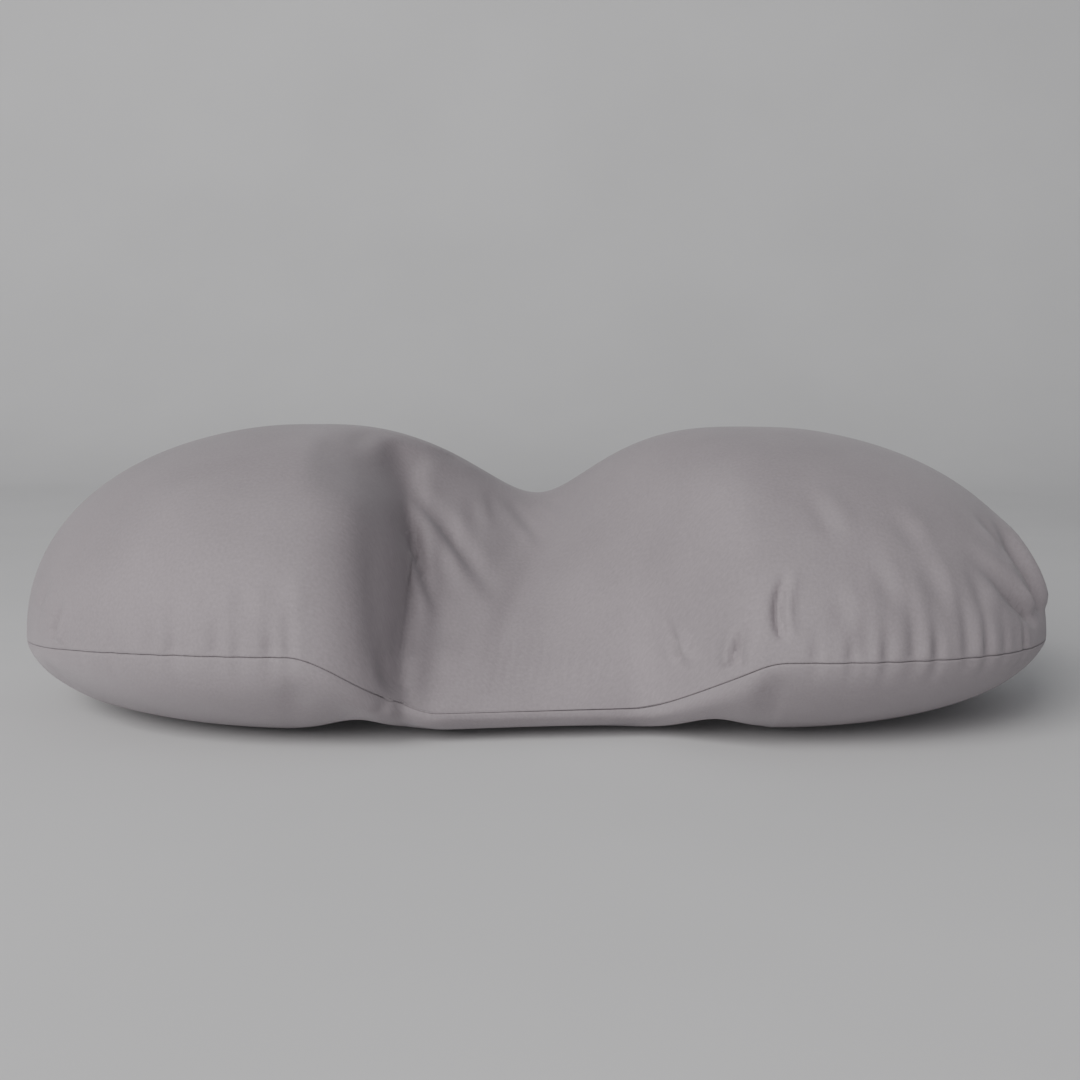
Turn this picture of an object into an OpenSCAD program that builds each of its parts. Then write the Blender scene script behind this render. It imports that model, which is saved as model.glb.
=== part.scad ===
// Two-lobed nursing pillow: a zipped cover over a stitched inner pillow with three chambers of filling.
// It lies on its back panel. +X runs along the pillow, the thin front edge of the waist faces -Y, +Z is up.

/* [Pillow] */
// Length over both lobes
pillow_l = 620; // [600:5:660]
// Front-to-back width of a lobe
lobe_w = 356; // [340:4:364]
// Height of the lobes
lobe_h = 170; // [150:1:185]
// Height of the saddle between the lobes, at its rear crest
saddle_h = 117; // [100:1:130]
// How far the saddle's crest lies behind the middle
saddle_back = 56; // [30:1:70]
// Distance from the middle to the thin front edge of the waist
waist_front = 130; // [115:1:145]
// Distance from the middle to the notch at the rear of the waist
waist_rear = 112; // [100:1:125]
// Radius of the flat patch under each lobe
foot_r = 62; // [45:1:80]

/* [Seam] */
// Height of the seam along the front of the lobes
seam_front_z = 60; // [52:1:70]
// Height of the seam along the ends and the rear, where the zip runs level
seam_rear_z = 48; // [46:1:54]
// Height of the seam along the front of the waist
seam_waist_z = 19; // [18:0.5:24]
// How far the underside of the waist is lifted off the floor
waist_lift = 5; // [3:0.5:6]

/* [Layers] */
// Thickness of the cover's knitted fabric
cover_t = 1.2; // [1.0:0.1:1.2]
// Depth of the inner pillow's fabric below the cover's outer face
liner_depth = 4.4; // [4.4:0.1:4.6]
// Thickness of the inner pillow's fabric
liner_t = 0.8; // [0.6:0.1:0.8]
// Depth of the filling below the cover's outer face
fill_depth = 7.6; // [7.4:0.1:8.2]
// Thickness of the two baffles in the inner pillow
baffle_t = 0.8; // [0.5:0.1:1.0]
// Distance of each baffle from the middle
baffle_x = 66; // [60:1:72]

/* [Zip] */
// Angle round the right lobe, from its end, where the tape starts
zip_from = 10; // [10:0.5:12]
// Angle round the right lobe where the tape ends
zip_to = 98.4; // [94:0.2:98.4]
// Angle at which the closed slider is parked
slider_at = 18.5; // [18:0.5:22]
// Length of the slider
slider_l = 11; // [9:0.5:12]
// Length of the pull tab
tab_l = 22; // [16:1:26]

/* [Label] */
// Width of the blank label at the rear of the left lobe
label_w = 22; // [15:1:30]
// Hanging length of the label
label_h = 26; // [15:1:30]

/* [Hidden] */

lobe_r = lobe_w / 2;
lobe_x = pillow_l / 2 - lobe_r;      // a lobe's centre
arc_steps = 10;                      // stations in a quarter turn round a lobe's end
waist_steps = 20;                    // stations from one lobe's centre to the other's
last = 2 * arc_steps + waist_steps;  // the last station, at the right end; station 0 is the left end
waist_flat = 52;                     // half the length over which the front edge stays thin and low
waist_turn = 62;                     // length over which it swings out to the lobe
seam_turn = 78;                      // length over which its seam climbs to the lobe's
lobe_bulge = 2.3;                    // superellipse power of the lobes' section, 2 is an ellipse
ramp_bulge = 1.25;                   // the same on the saddle's front ramp, 1 is a straight slope
ramp_half = 75;                      // distance from the middle over which the ramp fades into the lobes
foot_bulge = 2.1;                    // the same under the seam
crown_stop = 87;                     // degrees up the section where the closing strip takes over
hair = 0.15;                         // half the gap between the two panels at the seam
zip_gap = 5.5;                       // half the gap between the panels at the zip
thread_w = 0.6;                      // side of a run of seam thread

coil_r = 1.2;                        // radius of each coil of the chain
coil_z = 1.6;                        // its height above or below the seam's level
chain_r = lobe_r - 1.0;              // radius of the chain round the lobe's centre
tape_t = 0.5;                        // thickness of the woven tapes
tape_w = 11;                         // how far a tape reaches from the seam's level
stop_a = 1;                          // angle that a stop takes up
coil_from = slider_at - 2.2;
coil_to = zip_to - 1.4;
plate_t = 1.2;                       // outer plate of the slider
plate_w = 8.4;
run_clear = 0.3;                     // running clearance of the slider round the chain
pin_x = chain_r + 4.4;               // the pull tab's pin
pin_r = 0.6;
pin_clear = 0.08;
fine = 96;                           // steps round the zip's arcs
chamber_gap = baffle_t / 2 + 0.4;    // from a baffle's middle to the filling beside it

cover_colour = [0.56, 0.53, 0.53];
liner_colour = [0.93, 0.93, 0.91];
metal_colour = [0.36, 0.34, 0.34];

function mix(a, b, t) = a + (b - a) * t;
function clamp01(t) = min(1, max(0, t));
function smooth(t) = let (c = clamp01(t)) c * c * (3 - 2 * c);
function soft_max(a, b, k) = (a + b + sqrt((a - b) * (a - b) + k * k)) / 2;
function chord(x) = sqrt(lobe_r * lobe_r - pow(abs(x) - lobe_x, 2));

// Outline of the waist as distances from the middle, and the seam's height along its front
function front_y(x) = mix(waist_front, chord(x), smooth((abs(x) - waist_flat) / waist_turn));
function rear_y(x) = soft_max(chord(x), waist_rear, 24 * (1 - abs(x) / lobe_x));
function front_z(x) = mix(seam_waist_z, seam_front_z, smooth((abs(x) - waist_flat) / seam_turn));

// The saddle: 0 at the middle and 1 at a lobe's centre, a V with a rounded bottom
function saddle(x) = let (m = sqrt(pow(x / lobe_x, 2) + 0.0009) - 0.03) 1 - pow(1 - clamp01(m / 0.9705), 2.5);

// A station runs from 0 at the left end to last at the right end, and side is -1 in front, 1 at the rear
function on_arc(k) = k < arc_steps || k > arc_steps + waist_steps;
function hand(k) = k < last / 2 ? -1 : 1;
function turn(k) = 90 * min(k, last - k) / arc_steps;
function across(k) = lobe_x * (2 * (k - arc_steps) / waist_steps - 1);
function station(x) = arc_steps + waist_steps * (x / lobe_x + 1) / 2;
function is_pole(k) = k == 0 || k == last;

// Where a station's section starts at the seam, and where it ends at the crest or at the foot, d inside the cover
function seam_at(k, side, d) = on_arc(k)
    ? [hand(k) * (lobe_x + (lobe_r - d) * cos(turn(k))), side * (lobe_r - d) * sin(turn(k)),
       side > 0 ? seam_rear_z : mix(seam_rear_z, seam_front_z, pow(sin(turn(k)), 2))]
    : let (x = across(k)) side > 0 ? [x, rear_y(x) - d, seam_rear_z] : [x, d - front_y(x), front_z(x)];
function crest_at(k, d) = on_arc(k)
    ? [hand(k) * lobe_x, 0, lobe_h - d]
    : let (x = across(k)) [x, saddle_back * (1 - saddle(x)), mix(saddle_h, lobe_h, saddle(x)) - d];
function foot_at(k, side, d) = on_arc(k)
    ? [hand(k) * (lobe_x + foot_r * cos(turn(k))), side * foot_r * sin(turn(k)), d]
    : let (x = across(k), w = smooth(abs(x) / lobe_x))
      [x, side * foot_r * mix(0.5, 1, w), d + waist_lift * (1 - smooth(abs(x) / 70))];
function bulge(k, side) = on_arc(k) || side > 0
    ? lobe_bulge : mix(lobe_bulge, ramp_bulge, exp(-pow(across(k) / ramp_half, 2)));

// The panels part at the zip, on the rear of the right lobe
function zip_angle(k) = on_arc(k) ? turn(k) : 90 + asin((lobe_x - across(k)) / lobe_r);
function half_gap(k, side) = side > 0 && hand(k) > 0 && zip_angle(k) > zip_from - 2 && zip_angle(k) < zip_to + 0.3
    ? zip_gap : hair;

// A point of the section, t from 0 at the seam to 1 at the crown or the foot
function skin_at(k, side, up, t, d) =
    let (s = seam_at(k, side, d), c = up ? crest_at(k, d) : foot_at(k, side, d),
         n = up ? bulge(k, side) : foot_bulge,
         start = asin(pow(half_gap(k, side) / abs(c.z - s.z), n / 2)),
         a = mix(start, up ? crown_stop : 90, t), out = pow(cos(a), 2 / n))
    [mix(c.x, s.x, out), mix(c.y, s.y, out), mix(s.z, c.z, pow(sin(a), 2 / n))];

// A row holds its front stations and then its rear ones. At a pole the two are one point.
function row(ks, up, t, d) = [for (side = [-1, 1]) for (k = ks) skin_at(k, side, up, t, d)];
function rear_no(ks, i) = is_pole(ks[i]) ? i : len(ks) + i;
function band(ks, a, b) = [for (i = [0:len(ks) - 2]) let (r = rear_no(ks, i), q = rear_no(ks, i + 1)) each [
    [a + i, b + i, b + i + 1], [a + i, b + i + 1, a + i + 1],
    [a + r, b + q, b + r], [a + r, a + q, b + q]]];
function closing(ks, a) = [for (i = [0:len(ks) - 2]) let (r = rear_no(ks, i), q = rear_no(ks, i + 1)) each [
    if (r != i) [a + i, a + r, a + q], if (q != i + 1) [a + i, a + q, a + i + 1]]];
function wall(ks, i, a, b) = let (r = rear_no(ks, i)) r == i ? [] : [[a + i, a + r, b + r], [a + i, b + r, b + i]];
function turned(faces) = [for (f = faces) [f[0], f[2], f[1]]];

// A closed solid from rows that start at one closing strip, pass up the outside and end at the other
module rows_solid(ks, rows) {
    size = 2 * len(ks);
    count = len(rows);
    faces = concat(
        [for (j = [0:count - 2]) each band(ks, j * size, (j + 1) * size)],
        turned(closing(ks, 0)),
        closing(ks, (count - 1) * size),
        [for (j = [0:count - 2]) each wall(ks, 0, j * size, (j + 1) * size)],
        [for (j = [0:count - 2]) each turned(wall(ks, len(ks) - 1, j * size, (j + 1) * size))]
    );
    polyhedron(points = [for (r = rows) each r], faces = faces, convexity = 8);
}

module skin(up, outer, inner, steps) {
    ks = [for (k = [0:last]) k];
    down = [for (j = [steps:-1:0]) row(ks, up, j / steps, up ? inner : outer)];
    back = [for (j = [0:steps]) row(ks, up, j / steps, up ? outer : inner)];
    rows_solid(ks, concat(down, back));
}

module filling(ks) {
    up_steps = 6;
    down_steps = 4;
    rows_solid(ks, concat(
        [for (j = [down_steps:-1:0]) row(ks, false, j / down_steps, fill_depth)],
        [for (j = [0:up_steps]) row(ks, true, j / up_steps, fill_depth)]
    ));
}

// A square run of thread along the seam, between two depths, over a list of [station, side]
module seam_run(path, depth) {
    rings = [for (p = path) let (a = seam_at(p[0], p[1], depth), b = seam_at(p[0], p[1], depth + thread_w)) each [
        a - [0, 0, thread_w / 2], b - [0, 0, thread_w / 2], b + [0, 0, thread_w / 2], a + [0, 0, thread_w / 2]]];
    count = len(path);
    sides = [for (i = [0:count - 2]) for (c = [0:3]) let (a = 4 * i + c, b = 4 * i + (c + 1) % 4) each [
        [a, b, b + 4], [a, b + 4, a + 4]]];
    e = 4 * count - 4;
    ends = [[0, 3, 2], [0, 2, 1], [e, e + 1, e + 2], [e, e + 2, e + 3]];
    polyhedron(points = rings, faces = concat(sides, ends), convexity = 8);
}

module cover_top_panel() color(cover_colour) skin(true, 0, cover_t, 10);

module cover_bottom_panel() color(cover_colour) skin(false, 0, cover_t, 7);

module cover_seam_thread() {
    rear = [for (k = [0:last]) if (half_gap(k, 1) == hair) [k, 1]];
    past_zip = [for (p = rear) if (p[0] < last) p];
    front = [for (k = [0:last]) [k, -1]];
    color([0.45, 0.42, 0.42]) seam_run(concat([for (i = [len(past_zip) - 1:-1:1]) past_zip[i]], front), cover_t + 0.9);
}

// The zip's own frame: its centre is the right lobe's, at the height of the rear seam
module zip_frame(angle = 0) translate([lobe_x, 0, seam_rear_z]) rotate([0, 0, angle]) children();
module zip_arc(from, to) zip_frame(from) rotate_extrude(angle = to - from, $fn = fine) children();

// The tape leaves the coil, steps in behind the hem and follows the inside of the panel
module tape(up) {
    s = up ? 1 : -1;
    sink = up ? 0 : 1.0;
    lean = up ? 1.9 : 5.0;
    h = tape_t / 2;
    line = [[chain_r, coil_z + coil_r], [chain_r, zip_gap - 1.2], [chain_r - 1.6 - sink, zip_gap], [chain_r - lean, tape_w]];
    color([0.47, 0.44, 0.45]) zip_arc(zip_from, zip_to) polygon(concat(
        [for (p = line) [p.x - h, s * p.y]], [for (i = [3:-1:0]) [line[i].x + h, s * line[i].y]]));
}
module zip_tape_upper() tape(true);
module zip_tape_lower() tape(false);

module zip_topstitching() color([0.80, 0.79, 0.79]) {
    stitch_r = 0.25;
    stitch_z = zip_gap + 2.5;
    zip_arc(zip_from, zip_to) translate([lobe_r + stitch_r, stitch_z]) circle(stitch_r, $fn = 24);
    zip_arc(zip_from, zip_to) translate([lobe_r - 0.5, -stitch_z]) circle(stitch_r, $fn = 24);
}

module coil(s) color([0.40, 0.38, 0.39]) zip_arc(coil_from, coil_to)
    translate([chain_r, s * coil_z]) circle(coil_r, $fn = 32);
module zip_coil_upper() coil(1);
module zip_coil_lower() coil(-1);

module stop_block(from, low, high) color(metal_colour) zip_arc(from, from + stop_a)
    translate([chain_r - coil_r - 0.15, low]) square([2 * coil_r + 0.3, high - low]);
module zip_top_stops() for (s = [-1, 1])
    stop_block(coil_from - stop_a - 0.05, s * coil_z - coil_r, s * coil_z + coil_r);
module zip_bottom_stop() stop_block(coil_to + 0.05, -coil_z - coil_r, coil_z + coil_r);

// Two plates round the chain, flanged towards the tape, with a thin wedge between the coils
module zip_slider() color(metal_colour) {
    half_a = asin(slider_l / 2 / lobe_r);
    outside = chain_r + coil_r + run_clear + 0.1;
    inside = chain_r - coil_r - run_clear;
    flange = 0.6;
    slot = tape_t / 2 + 0.25;
    ear_z = [2.1, 3.1];
    a = slider_at - half_a;
    b = slider_at + half_a;
    zip_arc(a, b) translate([outside, -plate_w / 2]) square([plate_t, plate_w]);
    zip_arc(a, b) translate([inside - 0.8, -plate_w / 2]) square([0.8, plate_w]);
    for (s = [-1, 1]) {
        low = s > 0 ? plate_w / 2 - flange : -plate_w / 2;
        zip_arc(a, b) translate([chain_r + slot, low]) square([outside - chain_r - slot + 0.2, flange]);
        zip_arc(a, b) translate([inside - 0.2, low]) square([chain_r - slot - inside + 0.2, flange]);
    }
    zip_arc(a, a + 0.25 * (b - a)) translate([inside - 0.2, -0.15]) square([outside - inside + 0.4, 0.3]);
    zip_frame(slider_at) {
        for (s = [-1, 1]) translate([outside + 0.5, -1.5, s > 0 ? ear_z[0] : -ear_z[1]])
            cube([pin_x + 1.0 - outside - 0.5, 3, ear_z[1] - ear_z[0]]);
        translate([pin_x, 0, -ear_z[1]]) cylinder(r = pin_r, h = 2 * ear_z[1], $fn = 48);
    }
}

// The tab hangs on the slider's pin and lies back along the closed chain
module zip_pull_tab() color(metal_colour) zip_frame(slider_at) difference() {
    half_t = 0.6;
    neck = 1.8;
    half_w = 3.2;
    union() {
        translate([pin_x, 0, -neck]) cylinder(r = 1.3, h = 2 * neck, $fn = 48);
        translate([pin_x - half_t, 0, -neck]) cube([2 * half_t, 5, 2 * neck]);
        translate([pin_x - half_t, 4, -half_w]) cube([2 * half_t, tab_l - 4, 2 * half_w]);
        translate([pin_x - half_t, tab_l, 0]) rotate([0, 90, 0]) cylinder(r = half_w, h = 2 * half_t, $fn = 64);
    }
    translate([pin_x, 0, -neck - 1]) cylinder(r = pin_r + pin_clear, h = 2 * neck + 2, $fn = 48);
    translate([pin_x - 2, tab_l - 0.5, 0]) rotate([0, 90, 0]) cylinder(r = 1.3, h = 4, $fn = 48);
}

module care_label() color([0.93, 0.92, 0.90])
    translate([-lobe_x, 0, seam_rear_z]) rotate([0, 0, 117]) translate([lobe_r, -label_w / 2, -label_h])
    cube([0.5, label_w, label_h - hair]);

module liner_top_panel() color(liner_colour) skin(true, liner_depth, liner_depth + liner_t, 7);

module liner_bottom_panel() color(liner_colour) skin(false, liner_depth, liner_depth + liner_t, 5);

module liner_seam_thread() color([0.85, 0.85, 0.83])
    seam_run(concat([for (k = [last - 1:-1:1]) [k, 1]], [for (k = [0:last]) [k, -1]]), liner_depth + liner_t + 0.3);

// Short stitches across the inner pillow's seam, where it was closed after filling
module liner_closing_stitch() color([0.85, 0.85, 0.83]) translate([-lobe_x, 0, seam_rear_z])
    for (a = [132:2:158]) rotate([0, 0, a]) translate([lobe_r - liner_depth + 0.7, 0, -2]) cylinder(r = 0.3, h = 4, $fn = 16);

// A baffle is the inner pillow's own section at its station, a little smaller
module baffle(x) {
    k = station(x);
    d = fill_depth - 0.2;
    steps = 12;
    function edge(side, up) = [for (j = [0:steps]) let (p = skin_at(k, side, up, j / steps, d)) [p.y, p.z]];
    function back(list) = [for (i = [len(list) - 1:-1:0]) list[i]];
    color([0.88, 0.88, 0.86]) translate([x - baffle_t / 2, 0, 0]) rotate([90, 0, 90]) linear_extrude(baffle_t)
        polygon(concat(back(edge(-1, false)), edge(-1, true), back(edge(1, true)), edge(1, false)));
}
module baffle_left() baffle(-baffle_x);
module baffle_right() baffle(baffle_x);

// The three chambers of filling, each clear of the baffles
module fill_left() color([0.96, 0.96, 0.95]) {
    end = station(-baffle_x - chamber_gap);
    filling([for (k = [0:ceil(end) - 1]) k, end]);
}
module fill_waist() color([0.96, 0.96, 0.95]) {
    from = station(-baffle_x + chamber_gap);
    to = station(baffle_x - chamber_gap);
    filling([from, for (k = [floor(from) + 1:ceil(to) - 1]) k, to]);
}
module fill_right() color([0.96, 0.96, 0.95]) {
    from = station(baffle_x + chamber_gap);
    filling([from, for (k = [floor(from) + 1:last]) k]);
}

cover_top_panel();
cover_bottom_panel();
cover_seam_thread();
zip_tape_upper();
zip_tape_lower();
zip_topstitching();
zip_coil_upper();
zip_coil_lower();
zip_top_stops();
zip_bottom_stop();
zip_slider();
zip_pull_tab();
care_label();
liner_top_panel();
liner_bottom_panel();
liner_seam_thread();
liner_closing_stitch();
baffle_left();
baffle_right();
fill_left();
fill_waist();
fill_right();
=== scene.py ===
# %% [markdown]
# A nursing pillow, built in Blender around a fixed CAD frame
#
# The pillow has two high round lobes and a low saddle between them. A knitted cover is stretched over a
# stuffed inner pillow, and a zip at the rear of the right lobe lets it come off. The frame says how large
# everything is and what moves. This script makes what is soft: fabric, seams, folds, threads and filling.

# %% Load the frame
import bmesh
import bpy
import math
import numpy as np
from mathutils import Matrix, Vector


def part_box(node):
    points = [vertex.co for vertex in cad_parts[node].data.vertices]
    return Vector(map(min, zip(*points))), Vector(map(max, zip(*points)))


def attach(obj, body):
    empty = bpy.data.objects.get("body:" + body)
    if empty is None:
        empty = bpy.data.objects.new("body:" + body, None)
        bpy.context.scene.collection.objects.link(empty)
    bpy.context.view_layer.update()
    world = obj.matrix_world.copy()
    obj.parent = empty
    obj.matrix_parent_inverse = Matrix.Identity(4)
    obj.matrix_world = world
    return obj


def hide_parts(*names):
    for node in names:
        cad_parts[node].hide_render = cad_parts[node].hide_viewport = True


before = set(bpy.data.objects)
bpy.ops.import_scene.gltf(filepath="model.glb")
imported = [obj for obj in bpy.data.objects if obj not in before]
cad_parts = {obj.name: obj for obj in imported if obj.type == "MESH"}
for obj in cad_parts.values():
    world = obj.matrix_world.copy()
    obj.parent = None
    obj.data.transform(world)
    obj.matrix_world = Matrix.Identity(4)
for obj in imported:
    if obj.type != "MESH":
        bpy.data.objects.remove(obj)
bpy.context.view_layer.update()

# %% [markdown]
# First come the sizes. The frame's boxes give the length, the lobes' radius, their height and the heights of
# the seam, so the fabric fits the CAD shells without any fitting by hand. Only the shape between those
# sizes, such as how the front edge swings in at the waist, needs numbers of its own.

# %% Sizes from the frame
MM = 0.001
top_low, top_high = (np.array(p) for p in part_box("cover_top_panel"))
under_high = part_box("cover_bottom_panel")[1]
coil_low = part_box("zip_coil_upper")[0]
coil_dip = 0.4 * MM
half_length = (top_high[0] - top_low[0]) / 2
lobe_r = (top_high[1] - top_low[1]) / 2
lobe_x = half_length - lobe_r
lobe_h = top_high[2]
seam_front_z = under_high[2]
seam_waist_z = top_low[2]
seam_rear_z = coil_low[2] - coil_dip
baffle_x = abs(np.mean([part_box("baffle_left")[0][0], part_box("baffle_left")[1][0]]))

print(f"lobe radius {lobe_r:.3f} m, centres at +-{lobe_x:.3f} m, height {lobe_h:.3f} m")

# %% [markdown]
# The shape between those sizes has numbers of its own. A bulge is a superellipse's power: 2 is round, more
# is boxy, and less is flat or hollow. Two bulges, powers or sags in one name are the left lobe's and the
# right lobe's. The other pairs say where a change starts, as a distance from the middle of the pillow, and
# over what length it happens.

# %% The shape between the sizes
saddle_h = 124 * MM
saddle_back = 56 * MM
saddle_power = (2.4, 3.0)
valley_round = 0.22

waist_front = 130 * MM
waist_slant = 0.14
waist_rear = 112 * MM
rear_corner = 24 * MM
swing_left = (73 * MM, 58 * MM)
swing_right = (50 * MM, 66 * MM)

seam_sag = (3 * MM, 4.5 * MM)
seam_climb = (52 * MM, 78 * MM)
end_drop = 6 * MM

foot_r = 62 * MM
waist_lift = 2 * MM
notch_lift = 8 * MM
notch_place = (98 * MM, 20 * MM)

lobe_bulge = (2.2, 2.08)
ramp_bulge = 1.38
ramp_slope = 6.0
foot_bulge = (2.0, 1.75)
foot_ramp_bulge = 2.6
foot_ramp = (60 * MM, 72 * MM)
print(f"saddle {saddle_h:.3f} m high, waist {waist_front + waist_rear:.3f} m deep")

# %% [markdown]
# The whole skin is one grid. Its columns stand on stations along the seam: round the left end, along the
# front, round the right end and back along the rear. Its rows climb from the seam to the crown, or go down
# from the seam to the flat foot. Each section is a quarter of a superellipse, a curve between an ellipse
# and a box. One grid for every layer means that cover, inner pillow and filling nest without touching.
# Every shape below is built from three small formulas.

# %% Three small formulas
def mix(a, b, t):
    """The point a share t of the way from a to b."""
    return a + (b - a) * t


def smooth(t):
    """A soft step: 0 below 0, 1 above 1, and 3t^2 - 2t^3 between."""
    t = np.clip(t, 0, 1)
    return t * t * (3 - 2 * t)


def beyond(x, start, length):
    """How far |x| is past start, as a share of length."""
    return (np.abs(x) - start) / length


# %% [markdown]
# Seen from above, the seam is two circles joined by the waist. The front runs almost straight across and
# swings out to each lobe. The rear follows the circles inwards and meets in a shallow notch.

# %% The outline from above
def chord(x):
    """Half the width of the round lobe at x: the root of r^2 - (|x| - centre)^2."""
    return np.sqrt(np.maximum(lobe_r ** 2 - (np.abs(x) - lobe_x) ** 2, 0))


def front_edge(x):
    """Distance of the front seam from the middle: straight at the waist, then a swing out to the lobe.

    The swing is sharp on the left, 1 - (1 - s)^3 of its share s, and soft on the right.
    """
    left = 1 - (1 - np.clip(beyond(x, *swing_left), 0, 1)) ** 3
    out = np.where(x < 0, left, smooth(beyond(x, *swing_right)))
    return mix(waist_front - waist_slant * x, chord(x), out)


def rear_edge(x):
    """Distance of the rear seam: the larger of the lobe's circle and the notch, with a soft corner."""
    soft = rear_corner * (1 - np.abs(x) / lobe_x)
    return (chord(x) + waist_rear + np.sqrt((chord(x) - waist_rear) ** 2 + soft ** 2)) / 2


# %% [markdown]
# Seen from the front, the crown dips between the lobes in a V, because the waist holds less filling. The
# steepness of the front changes along the pillow too, and that is what makes the lobes stand out from it.

# %% The saddle and the front's bulge
def saddle(x):
    """0 in the middle of the saddle, 1 at a lobe's centre: a V with a round bottom, gentler on the left."""
    m = np.sqrt((x / lobe_x) ** 2 + valley_round ** 2) - valley_round
    power = np.where(x < 0, *saddle_power)
    return 1 - (1 - np.clip(m / (np.sqrt(1 + valley_round ** 2) - valley_round), 0, 1)) ** power


# Each pair here is a distance at the seam and at the crown.
wall_foot = (75 * MM, 84 * MM)
slope_start = (48 * MM, 30 * MM)
slope_reach = (60 * MM, 95 * MM)
wall_retreat = 28 * MM
wall_power = 4.6


def bulge(x, t):
    """The superellipse's power along the front, for rows t from seam (0) to crown (1).

    It is almost straight over the waist, hollow at its left end, and full on the lobes. The step between is
    a soft slope on the right. On the left it is a wall, 1 - (1 - s)^power of its share s: steep at its foot,
    and rounded where it meets the lobe. Towards the crown the wall moves inwards and softens to a slope too.
    """
    foot = mix(*wall_foot, t) - wall_retreat * smooth((t - 0.66) / 0.34)
    start = np.where(x < 0, foot, mix(*slope_start, t))
    reach = np.where(x < 0, lobe_x - foot, mix(*slope_reach, t))
    share = beyond(x, start, reach)
    slope = smooth(share)
    wall = 1 - (1 - np.clip(share, 0, 1)) ** wall_power
    step = np.where(x < 0, mix(wall, slope, smooth((t - 0.45) / 0.3)), slope)
    return mix(ramp_bulge + ramp_slope * x, np.where(x < 0, *lobe_bulge), step)


# %% [markdown]
# Three lines guide the columns: the seam, the crown that they climb to, and the foot that they go down to.
# Round a lobe's end the columns fan out from its centre, and along the waist they stand side by side.

# %% The columns and the lines that they follow
def stations(waist_steps, arc_steps):
    """The columns: each one's x at the waist, turn round a lobe, side, and whether it is on a lobe's end."""
    quarter = np.arange(arc_steps // 2) * math.pi / arc_steps
    across = (2 * np.arange(waist_steps) / waist_steps - 1) * lobe_x
    none = np.zeros(waist_steps)
    half = math.pi / 2
    turn = np.concatenate([quarter, none, half - quarter, quarter, none, half - quarter])
    x = np.concatenate([0 * quarter, across, 0 * quarter, 0 * quarter, -across, 0 * quarter])
    steps = [arc_steps // 2, waist_steps, arc_steps // 2] * 2
    hand = np.repeat([-1, 0, 1, 1, 0, -1], steps)
    side = np.repeat([-1, -1, -1, 1, 1, 1], steps)
    return {"x": x, "turn": turn, "hand": hand, "side": side, "arc": hand != 0}


def seam_line(at, inset=0.0):
    """The seam's point for each column, inset towards the middle of the pillow."""
    r = lobe_r - inset
    x_arc = at["hand"] * (lobe_x + r * np.cos(at["turn"]))
    y_arc = at["side"] * r * np.sin(at["turn"])
    left = (at["hand"] < 0) | ((at["hand"] == 0) & (at["x"] < 0))
    high = seam_front_z - np.where(left, *seam_sag)
    end_z = seam_rear_z - np.where(at["hand"] < 0, end_drop * np.cos(at["turn"]) ** 2, 0)
    rise = mix(end_z, high, np.sin(at["turn"]) ** 2)
    z_arc = np.where(at["side"] > 0, end_z, rise)
    front_z = mix(seam_waist_z, high, smooth(beyond(at["x"], *seam_climb)))
    y_waist = np.where(at["side"] > 0, rear_edge(at["x"]) - inset, inset - front_edge(at["x"]))
    z_waist = np.where(at["side"] > 0, seam_rear_z, front_z)
    pick = at["arc"]
    return np.stack([np.where(pick, x_arc, at["x"]), np.where(pick, y_arc, y_waist),
                     np.where(pick, z_arc, z_waist)], -1)


def crown_line(at, inset=0.0):
    """Where each column ends at the top: a lobe's centre, or the saddle's crest."""
    rise = saddle(at["x"])
    x = np.where(at["arc"], at["hand"] * lobe_x, at["x"])
    y = np.where(at["arc"], 0, saddle_back * (1 - rise))
    z = np.where(at["arc"], lobe_h, mix(saddle_h, lobe_h, rise)) - inset
    return np.stack([x, y, z], -1)


def foot_line(at, inset=0.0):
    """Where each column meets the flat foot under a lobe, or the lifted underside of the waist.

    A small notch beside the waist, a bell of x, lets the surface under the pillow show at the front.
    """
    w = smooth(np.abs(at["x"]) / lobe_x)
    x = np.where(at["arc"], at["hand"] * (lobe_x + foot_r * np.cos(at["turn"])), at["x"])
    y = at["side"] * foot_r * np.where(at["arc"], np.sin(at["turn"]), mix(0.5, 1, w))
    notch = np.exp(-beyond(at["x"], *notch_place) ** 2) * np.where(at["side"] < 0, 1, 0.3)
    z = inset + np.where(at["arc"], 0, waist_lift * (1 - w) + notch_lift * notch)
    return np.stack([x, y, z], -1)


def section(start, end, power, t, stop):
    """Rows of superellipse quarters: the plan follows cos(a)^(2/n) and the height sin(a)^(2/n)."""
    a = t[:, None] * math.radians(stop)
    out = np.cos(a) ** (2 / power)
    rise = np.sin(a) ** (2 / power)
    plan = mix(end[:, :2], start[:, :2], out[..., None])
    return np.concatenate([plan, mix(start[:, 2], end[:, 2], rise)[..., None]], -1)


# %% [markdown]
# The grid is coarse enough for cloth simulation, with a column about every 5 mm. Its rows are closer
# together at the seam, because that is where fabric gathers.

# %% The working grid
at = stations(waist_steps=68, arc_steps=116)
columns = len(at["x"])
rows_up = 36
rows_under = 16
rows_foot = 6
crown_stop = 88.5


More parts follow.
